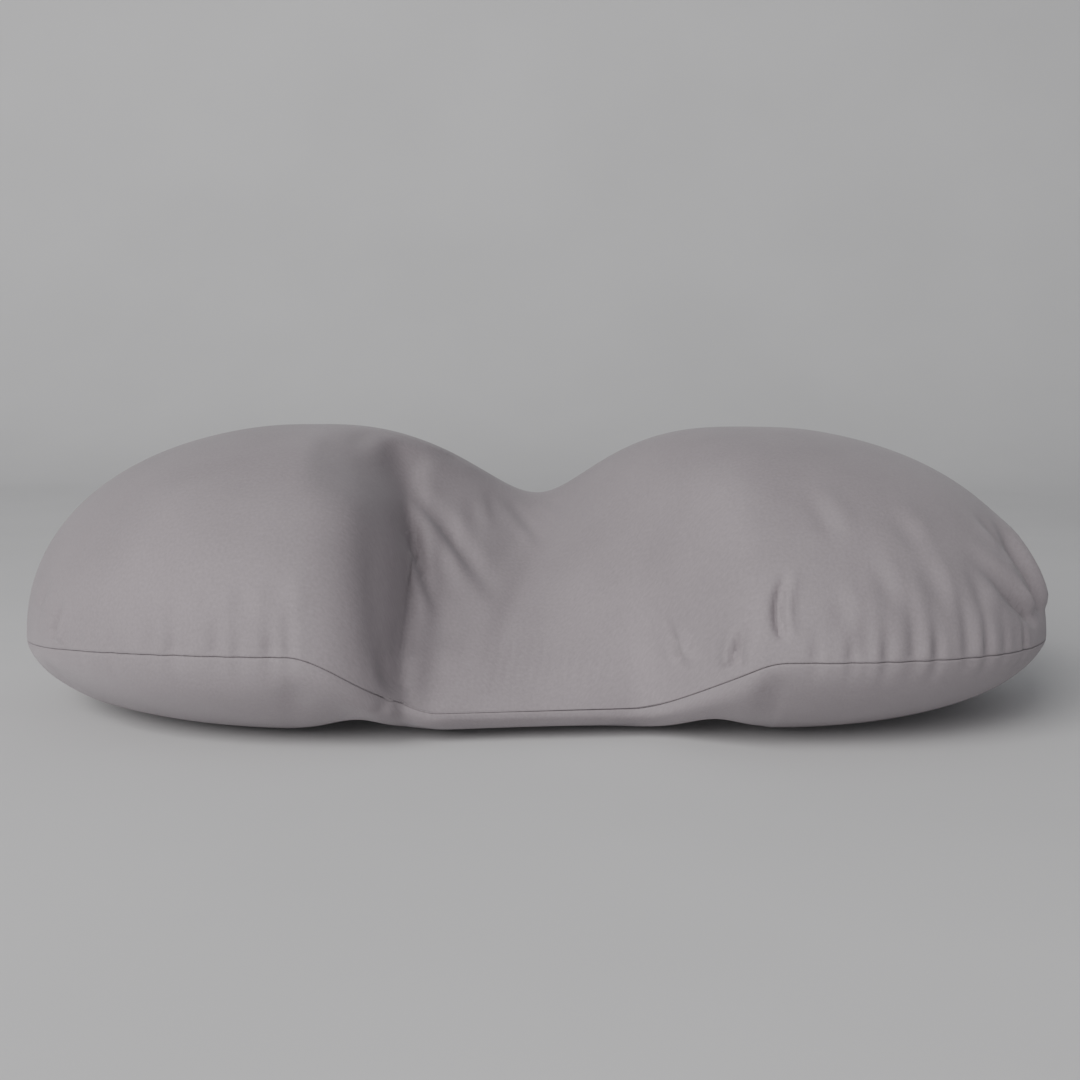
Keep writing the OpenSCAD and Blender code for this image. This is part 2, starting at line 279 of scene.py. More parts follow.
def skin_grid(inset=0.0):
    """Rows from the crown down to the seam (row rows_up), on to the foot's edge and in to its middle."""
    share = at["hand"] * np.cos(at["turn"]) ** 2 * at["arc"] + smooth((at["x"] / lobe_x + 1) / 2) * 2 - 1
    share = smooth(np.clip((np.where(at["arc"], at["hand"], share) + 1) / 2, 0, 1))
    full = mix(lobe_bulge[0], lobe_bulge[1], share)
    t_up = (np.arange(rows_up, -1, -1) / rows_up) ** 1.3
    power = np.where(at["arc"] | (at["side"] > 0), full, bulge(at["x"], t_up[:, None]))
    under = mix(foot_bulge[0], foot_bulge[1], share)
    slim = mix(foot_ramp_bulge, under, smooth(beyond(at["x"], *foot_ramp)))
    under = np.where((at["side"] < 0) & ~at["arc"], slim, under)
    seam = seam_line(at, inset)
    t_under = np.arange(1, rows_under + 1) / rows_under
    foot = foot_line(at, inset)
    middle = foot * [1, 0, 1]
    middle[:, 0] = crown_line(at)[:, 0]
    inwards = 0.96 * np.arange(1, rows_foot + 1)[:, None, None] / rows_foot
    return np.concatenate([
        section(seam, crown_line(at, inset), power, t_up, crown_stop),
        section(seam, foot, under, t_under, 90.0),
        mix(foot, middle, inwards)])


base = skin_grid()
seam_row = rows_up
print(f"working grid: {base.shape[0]} rows of {columns} columns")

# %% [markdown]
# Two helpers turn grids into meshes. Quads join neighbouring rows, and the last row is closed by a strip
# of quads that joins each front column to the rear column across from it.

# %% Grids to meshes
def quads(row_count, col_count, base_no=0):
    """Faces between the rows of a grid whose columns run round in a ring, facing outwards."""
    r = np.arange(row_count - 1)[:, None] * col_count
    c = np.arange(col_count)[None, :]
    d = (c + 1) % col_count
    faces = np.stack([r + c, r + col_count + c, r + col_count + d, r + d], -1)
    return (faces.reshape(-1, 4) + base_no).tolist()


def closing_strip(col_count, base_no, upwards=True):
    """Faces across one row, between each front column and its mirror at the rear."""
    faces = []
    for k in range(col_count // 2):
        face = [k, k + 1, (col_count - k - 1) % col_count, (col_count - k) % col_count]
        face = [f for i, f in enumerate(face) if f not in face[:i]]
        faces.append([f + base_no for f in (face if upwards else face[::-1])])
    return faces


def lay_out(mesh, uv):
    """Gives a mesh its cloth coordinates: one UV pair per point, copied to every corner of its faces."""
    corners = np.zeros(len(mesh.loops), np.int32)
    mesh.loops.foreach_get("vertex_index", corners)
    pairs = np.asarray(uv).reshape(-1, 2)[corners].astype(np.float32)
    mesh.uv_layers.new(name="cloth").data.foreach_set("uv", pairs.ravel())


def new_mesh(name, points, faces, uv=None):
    """A smooth mesh object at the origin, with one UV pair per point if they are given."""
    mesh = bpy.data.meshes.new(name)
    mesh.from_pydata(np.asarray(points).reshape(-1, 3).tolist(), [], faces)
    mesh.polygons.foreach_set("use_smooth", np.ones(len(mesh.polygons), bool))
    if uv is not None:
        lay_out(mesh, uv)
    mesh.update()
    piece = bpy.data.objects.new(name, mesh)
    bpy.context.scene.collection.objects.link(piece)
    return piece


def normals_of(grid):
    """Unit normals of a ring grid: the cross product of the steps along its rows and its columns."""
    along = np.roll(grid, -1, 1) - np.roll(grid, 1, 1)
    down = np.gradient(grid, axis=0)
    n = np.cross(down, along)
    return n / np.maximum(np.linalg.norm(n, axis=-1, keepdims=True), 1e-12)


def noise_ring(rows, cols, row_waves, col_waves, seed):
    """Smooth noise on a ring grid: random knots, joined by cosine steps in both directions."""
    knots = np.random.default_rng(seed).uniform(-1, 1, (row_waves + 1, col_waves))
    r = np.linspace(0, row_waves - 1e-6, rows)
    c = np.linspace(0, col_waves, cols, endpoint=False)
    r0, c0 = r.astype(int), c.astype(int)
    fr, fc = smooth(r - r0)[:, None], smooth(c - c0)[None, :]
    c1 = (c0 + 1) % col_waves
    upper = mix(knots[r0][:, c0], knots[r0][:, c1], fc)
    lower = mix(knots[r0 + 1][:, c0], knots[r0 + 1][:, c1], fc)
    return mix(upper, lower, fr)


# %% [markdown]
# The cover is cut a little larger than the pillow and eased into the seam, so it gathers there. Blender's
# Cloth does this by itself: the mesh that is simulated is the pillow's shape, and a second shape key holds
# the cut, in which every other column stands off the surface near the seam, so that its threads are longer.
# Air pressure stands in for the filling, the seam and the foot are pinned, and the motion is capped.

# %% Relax the cover with cloth simulation
sim_frames = 18
sim_cap = 7 * MM
seam_ease = 1.15 * MM
loose_ease = 1.5 * MM
seam_band = np.exp(-np.abs(np.arange(base.shape[0]) - seam_row) / 7.0)[:, None]


def relaxed(grid):
    """The grid after cloth simulation, with no point further than sim_cap from where it started."""
    rows = grid.shape[0]
    faces = quads(rows, columns)
    faces += closing_strip(columns, 0) + closing_strip(columns, (rows - 1) * columns, upwards=False)
    piece = new_mesh("cover_in_cloth", grid, faces)
    zigzag = np.where(np.arange(columns) % 2, 1.0, -1.0)[None, :]
    ease = seam_ease * seam_band * (1 + 0.8 * noise_ring(rows, columns, 3, 70, 5)) * zigzag
    ease += loose_ease * noise_ring(rows, columns, 9, 60, 9) * (0.3 + seam_band)
    cut = grid + normals_of(grid) * ease[..., None]
    piece.shape_key_add(name="pillow")
    cut_key = piece.shape_key_add(name="cut")
    cut_key.data.foreach_set("co", cut.astype(np.float32).ravel())
    pins = piece.vertex_groups.new(name="pins")
    held = [seam_row] + list(range(seam_row + rows_under, rows))
    pins.add([r * columns + c for r in held for c in range(columns)], 1.0, "REPLACE")
    cloth = piece.modifiers.new("cloth", "CLOTH")
    cloth.settings.quality = 6
    cloth.settings.mass = 0.25
    cloth.settings.tension_stiffness = 18
    cloth.settings.compression_stiffness = 10
    cloth.settings.shear_stiffness = 4
    cloth.settings.bending_stiffness = 0.35
    cloth.settings.vertex_group_mass = "pins"
    cloth.settings.rest_shape_key = cut_key
    cloth.settings.use_pressure = True
    cloth.settings.uniform_pressure_force = 3.5
    cloth.settings.effector_weights.gravity = 0
    cloth.collision_settings.use_collision = False
    cloth.point_cache.frame_start = 1
    cloth.point_cache.frame_end = sim_frames
    scene = bpy.context.scene
    for number in range(1, sim_frames + 1):
        scene.frame_set(number)
    shown = piece.evaluated_get(bpy.context.evaluated_depsgraph_get()).to_mesh()
    out = np.zeros(rows * columns * 3, np.float32)
    shown.vertices.foreach_get("co", out)
    scene.frame_set(1)
    bpy.data.objects.remove(piece)
    moved = out.reshape(grid.shape) - grid
    length = np.linalg.norm(moved, axis=-1, keepdims=True)
    print(f"cloth: mean move {length.mean() / MM:.2f} mm, largest {length.max() / MM:.2f} mm")
    return grid + moved * np.minimum(1, sim_cap / np.maximum(length, 1e-9))


def softened(grid, times=1):
    """Each point eased towards its four neighbours, which takes out the grid's own zigzag."""
    for _ in range(times):
        across = (np.roll(grid, 1, 1) + 2 * grid + np.roll(grid, -1, 1)) / 4
        inner = (across[:-2] + 2 * across[1:-1] + across[2:]) / 4
        grid = np.concatenate([across[:1], inner, across[-1:]])
    return grid


skin = base + softened(relaxed(base) - base, 1)

# %% [markdown]
# A simulated grid at 5 mm is too coarse for crisp folds, so it is refined: a new point between two old
# ones is (9(p1 + p2) - (p0 + p3)) / 16, the rule that keeps a cubic curve exact.

# %% Refine the grid
def refined(grid):
    """Twice the columns and rows of a ring grid, by the four-point rule."""
    mid = (9 * (grid + np.roll(grid, -1, 1)) - np.roll(grid, 1, 1) - np.roll(grid, -2, 1)) / 16
    wide = np.stack([grid, mid], 2).reshape(grid.shape[0], -1, grid.shape[2])
    pad = np.concatenate([2 * wide[:1] - wide[1:2], wide, 2 * wide[-1:] - wide[-2:-1]])
    between = (9 * (pad[1:-2] + pad[2:-1]) - pad[:-3] - pad[3:]) / 16
    tall = np.empty((2 * wide.shape[0] - 1,) + wide.shape[1:])
    tall[0::2] = wide
    tall[1::2] = between
    return tall


def flattened(grid):
    """Cloth coordinates in metres: each column laid out straight from its crown, at its true length."""
    crown = crown_line(at)[:, :2]
    away = seam_line(at)[:, :2] - crown
    away /= np.linalg.norm(away, axis=-1, keepdims=True)
    steps = np.linalg.norm(np.diff(grid, axis=0, prepend=grid[:1]), axis=-1)
    return crown[None] + away[None] * np.cumsum(steps, 0)[..., None]


fine = refined(skin)
fine_uv = refined(flattened(skin))
fine_columns = fine.shape[1]
fine_seam = 2 * seam_row
print(f"refined grid: {fine.shape[0]} rows of {fine_columns} columns")

# %% [markdown]
# Folds come next. Simulation gives a pillow its general puckers, but a fold that forms where two lobes
# pull on the waist is a matter of how this pillow lies, so each one is drawn as a path over the front, with
# a depth, a width and a soft ridge beside it. A path is a few points of (x, z) in millimetres, as a tailor
# would chalk it on the front of the pillow. The distance from it is signed, so that a fold can have a
# groove on one side and a ridge on the other.

# %% The fold brush
def curve_through(points, count=48):
    """A smooth path through the points: Catmull-Rom, which bends each span by its neighbours."""
    p = np.array(points, float) * MM
    p = np.concatenate([2 * p[:1] - p[1:2], p, 2 * p[-1:] - p[-2:-1]])
    u = np.linspace(0, len(p) - 3 - 1e-9, count)
    i = u.astype(int)
    f = (u - i)[:, None]
    a, b, c, d = p[i], p[i + 1], p[i + 2], p[i + 3]
    square = (2 * a - 5 * b + 4 * c - d) * f ** 2
    cube = (3 * b - a - 3 * c + d) * f ** 3
    return 0.5 * (2 * b + (c - a) * f + square + cube)


def fold(grid, points, depth, width, ridge=0.5, side=1, head=0.3, tail=0.3, deepest=0.6):
    """How far each point of the front moves outwards for one fold.

    The groove is a bell of the signed distance q from the path, -exp(-q^2), and the ridge is a wider bell
    on one side of it. Going down the path, side 1 is on the right. head and tail are the shares of the
    path over which the fold fades in and out, and deepest is where it is deepest.
    """
    path = curve_through(points)
    flat_grid = grid[..., [0, 2]]
    reach = 4.5 * width * MM
    near = np.all((flat_grid > path.min(0) - reach) & (flat_grid < path.max(0) + reach), -1)
    near &= grid[..., 1] < 25 * MM
    spots = flat_grid[near]
    gap = np.linalg.norm(spots[:, None] - path[None], axis=-1)
    k = gap.argmin(1)
    tangent = np.gradient(path, axis=0)
    tangent /= np.linalg.norm(tangent, axis=-1, keepdims=True)
    off = spots - path[k]
    q = (tangent[k, 0] * off[:, 1] - tangent[k, 1] * off[:, 0]) / (width * MM)
    along = np.sum(off * tangent[k], -1) * ((k == 0) | (k == len(path) - 1)) / (width * MM)
    s = k / (len(path) - 1)
    fade = smooth(s / head) * smooth((1 - s) / tail) * np.exp(-along ** 2)
    strength = mix(0.5, 1.0, np.exp(-((s - deepest) / 0.35) ** 2)) * fade
    out = np.zeros(grid.shape[:2])
    out[near] = depth * MM * strength * (ridge * np.exp(-((q * side - 1.6) / 1.1) ** 2) - np.exp(-q ** 2))
    return out


# %% [markdown]
# These are the folds of this pillow. The longest runs down the inner wall of the left lobe to the corner of
# the waist, and the waist bulges out over it like a lip. Long ones fan out from its top over the saddle,
# where the stretched knit is pulled askew. Short pinches stand over the seam on the right, and the right
# end is drawn together in creases. On the ends the surface turns away, so their widths are smaller.

# %% The folds
lip = [[-85, 118], [-80, 104], [-77, 88], [-74, 71], [-73, 55], [-74, 42], [-68, 32]]
corner = [[-62, 58], [-60, 46], [-57, 34]]
valley = [[-99, 150], [-95, 138], [-92, 124], [-89, 108], [-87, 92],
          [-85, 76], [-83, 62], [-82, 50], [-79, 38], [-74, 30]]
lip_hook = [[-77, 66], [-79, 58], [-81, 50], [-80, 42], [-75, 35], [-68, 30]]
fan_low = [[-84, 128], [-79, 117], [-75, 107], [-69, 95], [-64, 84], [-58, 72], [-53, 62]]
fan_high = [[-79, 137], [-72, 129], [-58, 115], [-42, 96], [-28, 80], [-18, 70]]
fan_third = [[-52, 128], [-40, 116], [-26, 98]]
crest_left = [[-34, 130], [-28, 120], [-20, 106]]
crest_long = [[-24, 126], [-11, 114], [0, 104], [8, 96]]
crest_right = [[-2, 125], [9, 121], [22, 119]]
pinch_near = [[68, 74], [73, 64], [76, 55], [79, 45]]
pinch_far = [[109, 78], [106, 68], [104, 58], [104, 50]]
strong = [[133, 104], [128, 95], [125, 86], [125, 76], [128, 66]]
strong_crest = [[136, 106], [132, 97], [129, 88], [130, 77], [133, 64]]
soft_runs = [[[140, 142], [152, 128], [160, 112]], [[168, 116], [178, 100], [188, 86], [198, 72]],
             [[196, 116], [206, 102], [214, 88], [219, 74]], [[226, 112], [236, 98], [241, 84], [243, 72]],
             [[150, 96], [158, 82], [163, 68]], [[184, 132], [198, 120], [210, 106]]]
end_crease = [[230, 112], [246, 98], [262, 84], [276, 72], [288, 62]]
end_rim = [[262, 122], [272, 108], [280, 92], [288, 76], [294, 62]]
end_small = [[268, 92], [279, 80], [288, 68]]
left_dent = [[-259, 82], [-263, 72], [-266, 62], [-268, 55]]
left_edge = [[-272, 88], [-278, 78], [-282, 66]]
waist_corner = [[-76, 36], [-80, 28], [-85, 20]]
rim_runs = [[[248, 126], [258, 116], [266, 104]], [[260, 116], [268, 104], [274, 92]]]
left_runs = [[[-150, 100], [-152, 86], [-150, 72]], [[-170, 104], [-172, 88], [-171, 70]],
             [[-190, 96], [-190, 80], [-189, 66]], [[-135, 104], [-134, 90], [-136, 76]]]

folds = [
    dict(points=valley, depth=5.4, width=5.0, ridge=0.3, side=1, head=0.6, tail=0.12, deepest=0.8),
    dict(points=lip, depth=-1.4, width=9.0, ridge=0.0, head=0.4, tail=0.3, deepest=0.6),
    dict(points=corner, depth=-2.5, width=14.0, ridge=0.0, head=0.5, tail=0.4, deepest=0.5),
    dict(points=lip_hook, depth=4.2, width=2.6, ridge=0.5, side=-1, head=0.35, tail=0.35, deepest=0.5),
    dict(points=fan_low, depth=6.2, width=3.8, ridge=0.85, side=-1, head=0.55, tail=0.45, deepest=0.55),
    dict(points=fan_high, depth=5.2, width=5.0, ridge=0.85, side=-1, head=0.45, tail=0.5, deepest=0.45),
    dict(points=fan_third, depth=1.0, width=5.0, ridge=0.6, side=-1, head=0.5, tail=0.5, deepest=0.5),
    dict(points=crest_left, depth=0.9, width=3.2, ridge=0.7, side=-1, head=0.4, tail=0.5, deepest=0.5),
    dict(points=crest_long, depth=1.3, width=3.2, ridge=0.8, side=-1, head=0.3, tail=0.5, deepest=0.4),
    dict(points=crest_right, depth=0.9, width=2.8, ridge=0.6, side=-1, head=0.3, tail=0.4, deepest=0.4),
    dict(points=pinch_near, depth=9.0, width=2.3, ridge=0.8, side=1, head=0.5, tail=0.25, deepest=0.75),
    dict(points=pinch_near, depth=-2.0, width=7.0, ridge=0.0, head=0.5, tail=0.25, deepest=0.75),
    dict(points=pinch_far, depth=8.0, width=2.6, ridge=0.8, side=-1, head=0.5, tail=0.2, deepest=0.7),
    dict(points=strong, depth=6.8, width=2.8, ridge=0.2, side=1, head=0.35, tail=0.15, deepest=0.6),
    dict(points=strong_crest, depth=-1.8, width=2.8, ridge=0.0, head=0.3, tail=0.4, deepest=0.4),
    dict(points=end_crease, depth=6.5, width=4.4, ridge=0.5, side=1, head=0.35, tail=0.2, deepest=0.7),
    dict(points=end_rim, depth=6.0, width=3.2, ridge=0.9, side=1, head=0.3, tail=0.2, deepest=0.6),
    dict(points=end_small, depth=3.6, width=2.4, ridge=1.0, side=-1, head=0.4, tail=0.3, deepest=0.7),
    dict(points=left_dent, depth=6.0, width=3.0, ridge=0.5, side=1, head=0.5, tail=0.12, deepest=0.8),
    dict(points=left_edge, depth=2.4, width=3.0, ridge=0.5, side=1, head=0.4, tail=0.4, deepest=0.6),
    dict(points=waist_corner, depth=2.0, width=3.0, ridge=0.6, side=1, head=0.4, tail=0.3, deepest=0.6),
]
folds += [dict(points=run, depth=1.5, width=6.0, ridge=0.8, side=1, head=0.5, tail=0.4) for run in soft_runs]
folds += [dict(points=run, depth=0.9, width=6.0, ridge=0.7, side=1, head=0.5, tail=0.4) for run in left_runs]
folds += [dict(points=run, depth=2.4, width=3.4, ridge=0.8, side=-1, head=0.4, tail=0.4) for run in rim_runs]


def folded(grid):
    """The grid with every fold pressed into it, mostly backwards where the walls of the waist are steep."""
    away = normals_of(grid)
    away[..., 0] *= mix(0.35, 1.0, smooth((np.abs(grid[..., 0]) - 120 * MM) / (60 * MM)))
    return grid + away * sum(fold(grid, **f) for f in folds)[..., None]


# %% [markdown]
# Gathers stand along the seam. Each is a short groove that runs up the column at its station and fades out
# 10 to 35 mm above the stitches. A few strong ones are listed along the front, and the rest are
# drawn from seeded noise, because ease is never spread evenly along a seam.

# %% Gathers along the seam
def seam_walk(grid, row):
    """Distance along the seam for each column, from the left end, in metres."""
    steps = np.linalg.norm(np.roll(grid[row], -1, 0) - grid[row], axis=-1)
    return np.concatenate([[0], np.cumsum(steps)[:-1]])


def nearest_column(grid, row, x, side):
    """The column whose seam point has this x, on the front (-1) or the rear (1)."""
    p = grid[row]
    return int(np.argmin(np.abs(p[:, 0] - x) + 10.0 * (np.sign(p[:, 1]) != side)))


# Each gather is its seam point's x, depth, width and reach, in millimetres.
gathers = [(-247, 1.5, 3.0, 9), (-226, 2.4, 3.2, 12), (-203, 1.4, 3.4, 12), (-189, 3.0, 3.4, 16),
           (-181, 1.6, 3.0, 24), (-166, 1.9, 3.2, 22), (-154, 1.5, 2.8, 10), (-138, 2.8, 3.2, 14),
           (-129, 1.5, 3.4, 24), (144, 1.5, 3.0, 12), (162, 2.8, 3.2, 12), (171, 1.6, 4.0, 30),
           (183, 2.4, 3.2, 13), (197, 1.9, 4.0, 34), (212, 2.6, 3.4, 15), (230, 1.8, 4.2, 32),
           (243, 2.4, 3.4, 20), (256, 1.4, 3.2, 14), (272, 1.8, 3.0, 14)]


def gathered(grid, row):
    """The grid with its gathers, and with smaller ones from noise all the way round."""
    rows, cols = grid.shape[:2]
    walk = seam_walk(grid, row)
    length = walk[-1]
    climb = np.abs(np.cumsum(np.linalg.norm(np.diff(grid, axis=0, prepend=grid[:1]), axis=-1), 0))
    climb = climb - climb[row]
    above = np.clip(-climb, 0, None)
    below = np.clip(climb, 0, None)
    lift = np.zeros((rows, cols))
    for x, depth, width, reach in gathers:
        at_column = walk[nearest_column(grid, row, x * MM, -1)]
        q = (walk - at_column + length / 2) % length - length / 2
        shoulder = np.exp(-beyond(q, 1.9 * width * MM, width * MM) ** 2)
        bell = np.exp(-(q / (width * MM)) ** 2) - 0.35 * shoulder
        up = np.exp(-(above / (reach * MM)) ** 1.6) * (climb <= 0)
        up *= 0.35 + 0.65 * smooth(above / (5 * MM))
        down = 0.45 * np.exp(-(below / (9 * MM)) ** 1.6) * (climb > 0)
        lift -= depth * MM * bell[None] * (up + down)
    fine_noise = noise_ring(rows, cols, 6, 150, 21)
    slow_noise = 0.5 + 0.5 * noise_ring(rows, cols, 1, 14, 22)
    reach_noise = np.exp(-(above / (17 * MM)) ** 1.4) * (climb <= 0)
    reach_noise += 0.7 * np.exp(-(below / (13 * MM)) ** 1.4) * (climb > 0)
    waist = np.exp(-(grid[row, :, 0] / (70 * MM)) ** 4)
    plain_rear = smooth(grid[row, :, 1] / (40 * MM)) * smooth((40 * MM - grid[row, :, 0]) / (60 * MM))
    size = mix(0.55, 1.7, plain_rear) * MM * (1 - 0.6 * waist * (1 - plain_rear))
    lift += size * fine_noise * reach_noise * slow_noise
    return grid + normals_of(grid) * lift[..., None]


# %% [markdown]
# The front of the waist carries a row of faint upright pleats a hand's width long, where the knit is held
# short by the seam. They are a small wave along x that fades out above and below.

# %% Faint pleats on the front of the waist
pleat_pitch = 6.4
pleat_height = 0.22 * MM


def pleated(grid):
    """A slanted sine wave of x and z, inside a soft-edged patch at the front of the waist."""
    x, y, z = grid[..., 0] / MM, grid[..., 1] / MM, grid[..., 2] / MM
    wave = np.sin((x - 0.25 * z) * 2 * math.pi / pleat_pitch + 1.2 * np.sin(x / 17))
    patch = np.exp(-((x - 5) / 40) ** 4) * np.exp(-((z - 43) / 11) ** 4) * (y < -60)
    return grid + normals_of(grid) * (pleat_height * wave * patch)[..., None]


dressed = pleated(gathered(folded(fine), fine_seam))
dressed[..., 2] = np.maximum(dressed[..., 2], 0)
dressed_coarse = dressed[::2, ::2]
print(f"folds and gathers: {len(folds)} and {len(gathers)} placed by hand")

# %% [markdown]
# The cover is two panels of knit with a turned seam. Each panel's edge rolls in over about a millimetre and
# its allowance runs inside, so that the seam shows as a narrow dark groove and not as a painted line. The
# outer face is on the fine grid. The inner face lies one cloth thickness below, at half the resolution, and
# the two are joined along the allowance, so a panel is a closed sheet with a real thickness.

# %% Panels with turned seams
cloth_t = 0.9 * MM
zip_gap = 5.6 * MM
zip_from = math.radians(5.0)
zip_to = math.radians(100.0)
roll = [(0.05, 0.75), (0.30, 0.30), (0.85, 0.12), (2.6, 0.12)]
inner_roll = [(1.3, 1.35), (2.6, 1.10)]


def zip_opening(points):
    """1 on the stretch of seam where the zip is, 0 elsewhere, with soft ends."""
    angle = np.arctan2(points[:, 1], points[:, 0] - lobe_x)
    ends = smooth((angle - zip_from) / math.radians(5)) * smooth((zip_to - angle) / math.radians(4))
    return ends * (points[:, 1] > 0)


def slid(grid, start):
    """The grid's rows moved along their columns, so that row 0 starts a length start above the old one."""
    steps = np.linalg.norm(np.diff(grid[..., :3], axis=0, prepend=grid[:1, :, :3]), axis=-1)
    walk = np.cumsum(steps, 0)
    old = walk / walk[-1]
    want = start / walk[-1] * (1 - old) + old
    k = np.clip(np.sum(old[None] <= want[:, None] + 1e-12, 1) - 1, 0, len(old) - 2)
    lower = np.take_along_axis(old, k, 0)
    upper = np.take_along_axis(old, k + 1, 0)
    f = ((want - lower) / np.maximum(upper - lower, 1e-12))[..., None]
    a = np.take_along_axis(grid, k[..., None], 0)
    b = np.take_along_axis(grid, k[..., None] + 1, 0)
    return mix(a, b, np.clip(f, 0, 1))


def inward_of(line):
    """Level unit vectors that point from the seam into the pillow."""
    along = np.roll(line, -1, 0) - np.roll(line, 1, 0)
    n = np.stack([-along[:, 1], along[:, 0], 0 * along[:, 0]], -1)
    return n / np.linalg.norm(n, axis=-1, keepdims=True)


def turned_edge(line, offsets, up):
    """Rows of points that roll in from the seam line: each is so many millimetres inwards and upwards."""
    n = inward_of(line)
    return np.stack([line + n * a * MM + np.array([0, 0, up * b * MM]) for a, b in offsets])


def panel_rows(grid, uv, seam, up, offsets, keep_from):
    """A panel's rows from its closed end to its turned edge, and their cloth coordinates."""
    rows = grid[:seam + 1][::-1] if up > 0 else grid[seam:]
    rows_uv = uv[:seam + 1][::-1] if up > 0 else uv[seam:]
    opening = zip_opening(rows[0])
    joined = slid(np.concatenate([rows, rows_uv], -1), zip_gap * opening)
    rows, rows_uv = joined[..., :3], joined[..., 3:]
    edge = turned_edge(rows[0], offsets, up)
    edge_uv = np.stack([rows_uv[0]] * len(offsets))
    out = np.concatenate([edge[::-1], rows[keep_from:]])
    out_uv = np.concatenate([edge_uv, rows_uv[keep_from:]])
    return out, out_uv


# %% [markdown]
# A sheet of cloth is closed when its outer and inner faces meet all the way round. Both faces are grids
# that end at the seam, so a rim of quads or triangles joins their first rows, and a strip closes the last.

# %% Closed sheets
def rim_faces(wide, narrow, start):
    """Faces between the first rows of two grids: quads, or triangles where one has twice the columns."""
    c = np.arange(narrow)
    p, q = start + c, start + (c + 1) % narrow
    if wide == narrow:
        return np.stack([c, (c + 1) % narrow, q, p], -1).tolist()
    a, b, d = 2 * c, 2 * c + 1, (2 * c + 2) % wide
    triangles = [(a, b, p), (b, q, p), (b, d, q)]
    return np.concatenate([np.stack(t, -1) for t in triangles]).tolist()


def closed_sheet(name, outer, inner, outer_uv, inner_uv, up):
    """One closed mesh from a panel's outer and inner grids, joined along their first rows, the edge."""
    def turned(faces):
        return [f[::-1] for f in faces]

    rows, cols = outer.shape[:2]
    inner_rows, inner_cols = inner.shape[:2]
    start = rows * cols
    outside = quads(rows, cols)
    inside = quads(inner_rows, inner_cols, start)
    rim = rim_faces(cols, inner_cols, start)
    faces = turned(outside) if up > 0 else outside
    faces += closing_strip(cols, (rows - 1) * cols, upwards=up > 0)
    faces += inside if up > 0 else turned(inside)
    faces += closing_strip(inner_cols, start + (inner_rows - 1) * inner_cols, upwards=up < 0)
    faces += turned(rim) if up > 0 else rim
    points = np.concatenate([outer.reshape(-1, 3), inner.reshape(-1, 3)])
    uv = np.concatenate([outer_uv.reshape(-1, 2), inner_uv.reshape(-1, 2)])
    return new_mesh(name, points, faces, uv)


def cloth_panel(name, fine_grid, fine_flat, coarse_grid, coarse_flat, up, thickness):
    """A closed sheet: the outer face from the fine grid, the inner face from the coarse one."""
    outer, outer_uv = panel_rows(fine_grid, fine_flat, fine_seam, up, roll, 1)
    under = coarse_grid - normals_of(coarse_grid) * thickness
    inner, inner_uv = panel_rows(under, coarse_flat, seam_row, up, inner_roll, 2)
    inner[:2] = turned_edge(coarse_line(coarse_grid, up), inner_roll, up)[::-1]
    return closed_sheet(name, outer, inner, outer_uv, inner_uv, up)


def coarse_line(coarse_grid, up):
    """The coarse seam line of one panel, with the zip's opening in it."""
    rows = coarse_grid[:seam_row + 1][::-1] if up > 0 else coarse_grid[seam_row:]
    return slid(rows, zip_gap * zip_opening(rows[0]))[0]


flat = flattened(skin)
cover_top = cloth_panel("cover_top_knit", dressed, fine_uv, dressed_coarse, flat, 1, cloth_t)
cover_under = cloth_panel("cover_bottom_knit", dressed, fine_uv, dressed_coarse, flat, -1, cloth_t)
for piece in (cover_top, cover_under):
    print(piece.name, len(piece.data.polygons), "faces")

# %% [markdown]
# Every piece rides on a body of the frame and stands for the CAD node that it replaces. The two panels of
# the cover are measured here by their area.

# %% Join the panels to the frame
def place(piece, node, body="pillow"):
    """Hands a piece to the frame."""
    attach(piece, body)
    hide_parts(node)
    return piece


def area_of(grid):
    """The area of a ring grid in square metres: half the cross product of each quad's diagonals, summed."""
    a, b = grid[:-1], grid[1:]
    c, d = np.roll(b, -1, 1), np.roll(a, -1, 1)
    return float(np.linalg.norm(np.cross(c - a, d - b), axis=-1).sum() / 2)


place(cover_top, "cover_top_panel")
place(cover_under, "cover_bottom_panel")
print(f"cover: top {area_of(dressed[:fine_seam + 1]):.3f} m2, bottom {area_of(dressed[fine_seam:]):.3f} m2")

# %% [markdown]
# Under the cover lies the inner pillow. Its lining, its two baffles and its filling are worked out from the
# same grid, each set a few millimetres further in and a little smoother, so that nothing pokes through when
# the cover is taken off or seen through the zip's opening. The lining has its own turned seam.

# %% The inner pillow's lining
def widest(values, reach):
    """The largest value within reach steps of each point of a ring grid."""
    out = values
    for _ in range(reach):
        out = np.maximum(out, np.maximum(np.roll(out, 1, 1), np.roll(out, -1, 1)))
        out[1:] = np.maximum(out[1:], out[:-1])
        out[:-1] = np.maximum(out[:-1], out[1:])
    return out


pressed = np.clip(-np.sum((dressed - fine) * normals_of(fine), -1), 0, None)
pressed = softened(widest(pressed.copy(), 3)[::2, ::2, None], 3)
seam_hold = smooth(np.abs(np.arange(base.shape[0]) - seam_row) / 4)[:, None, None]
swell = softened(skin - base, 2)


def layer(depth):
    """The pillow's shape made smaller by depth, swollen like the skin, and pressed in under the folds."""
    inner = skin_grid(depth) + swell
    return inner - normals_of(inner) * pressed * seam_hold


liner_t = 0.6 * MM
liner_grid = layer(4.2 * MM)
liner_under = layer(4.2 * MM + liner_t)


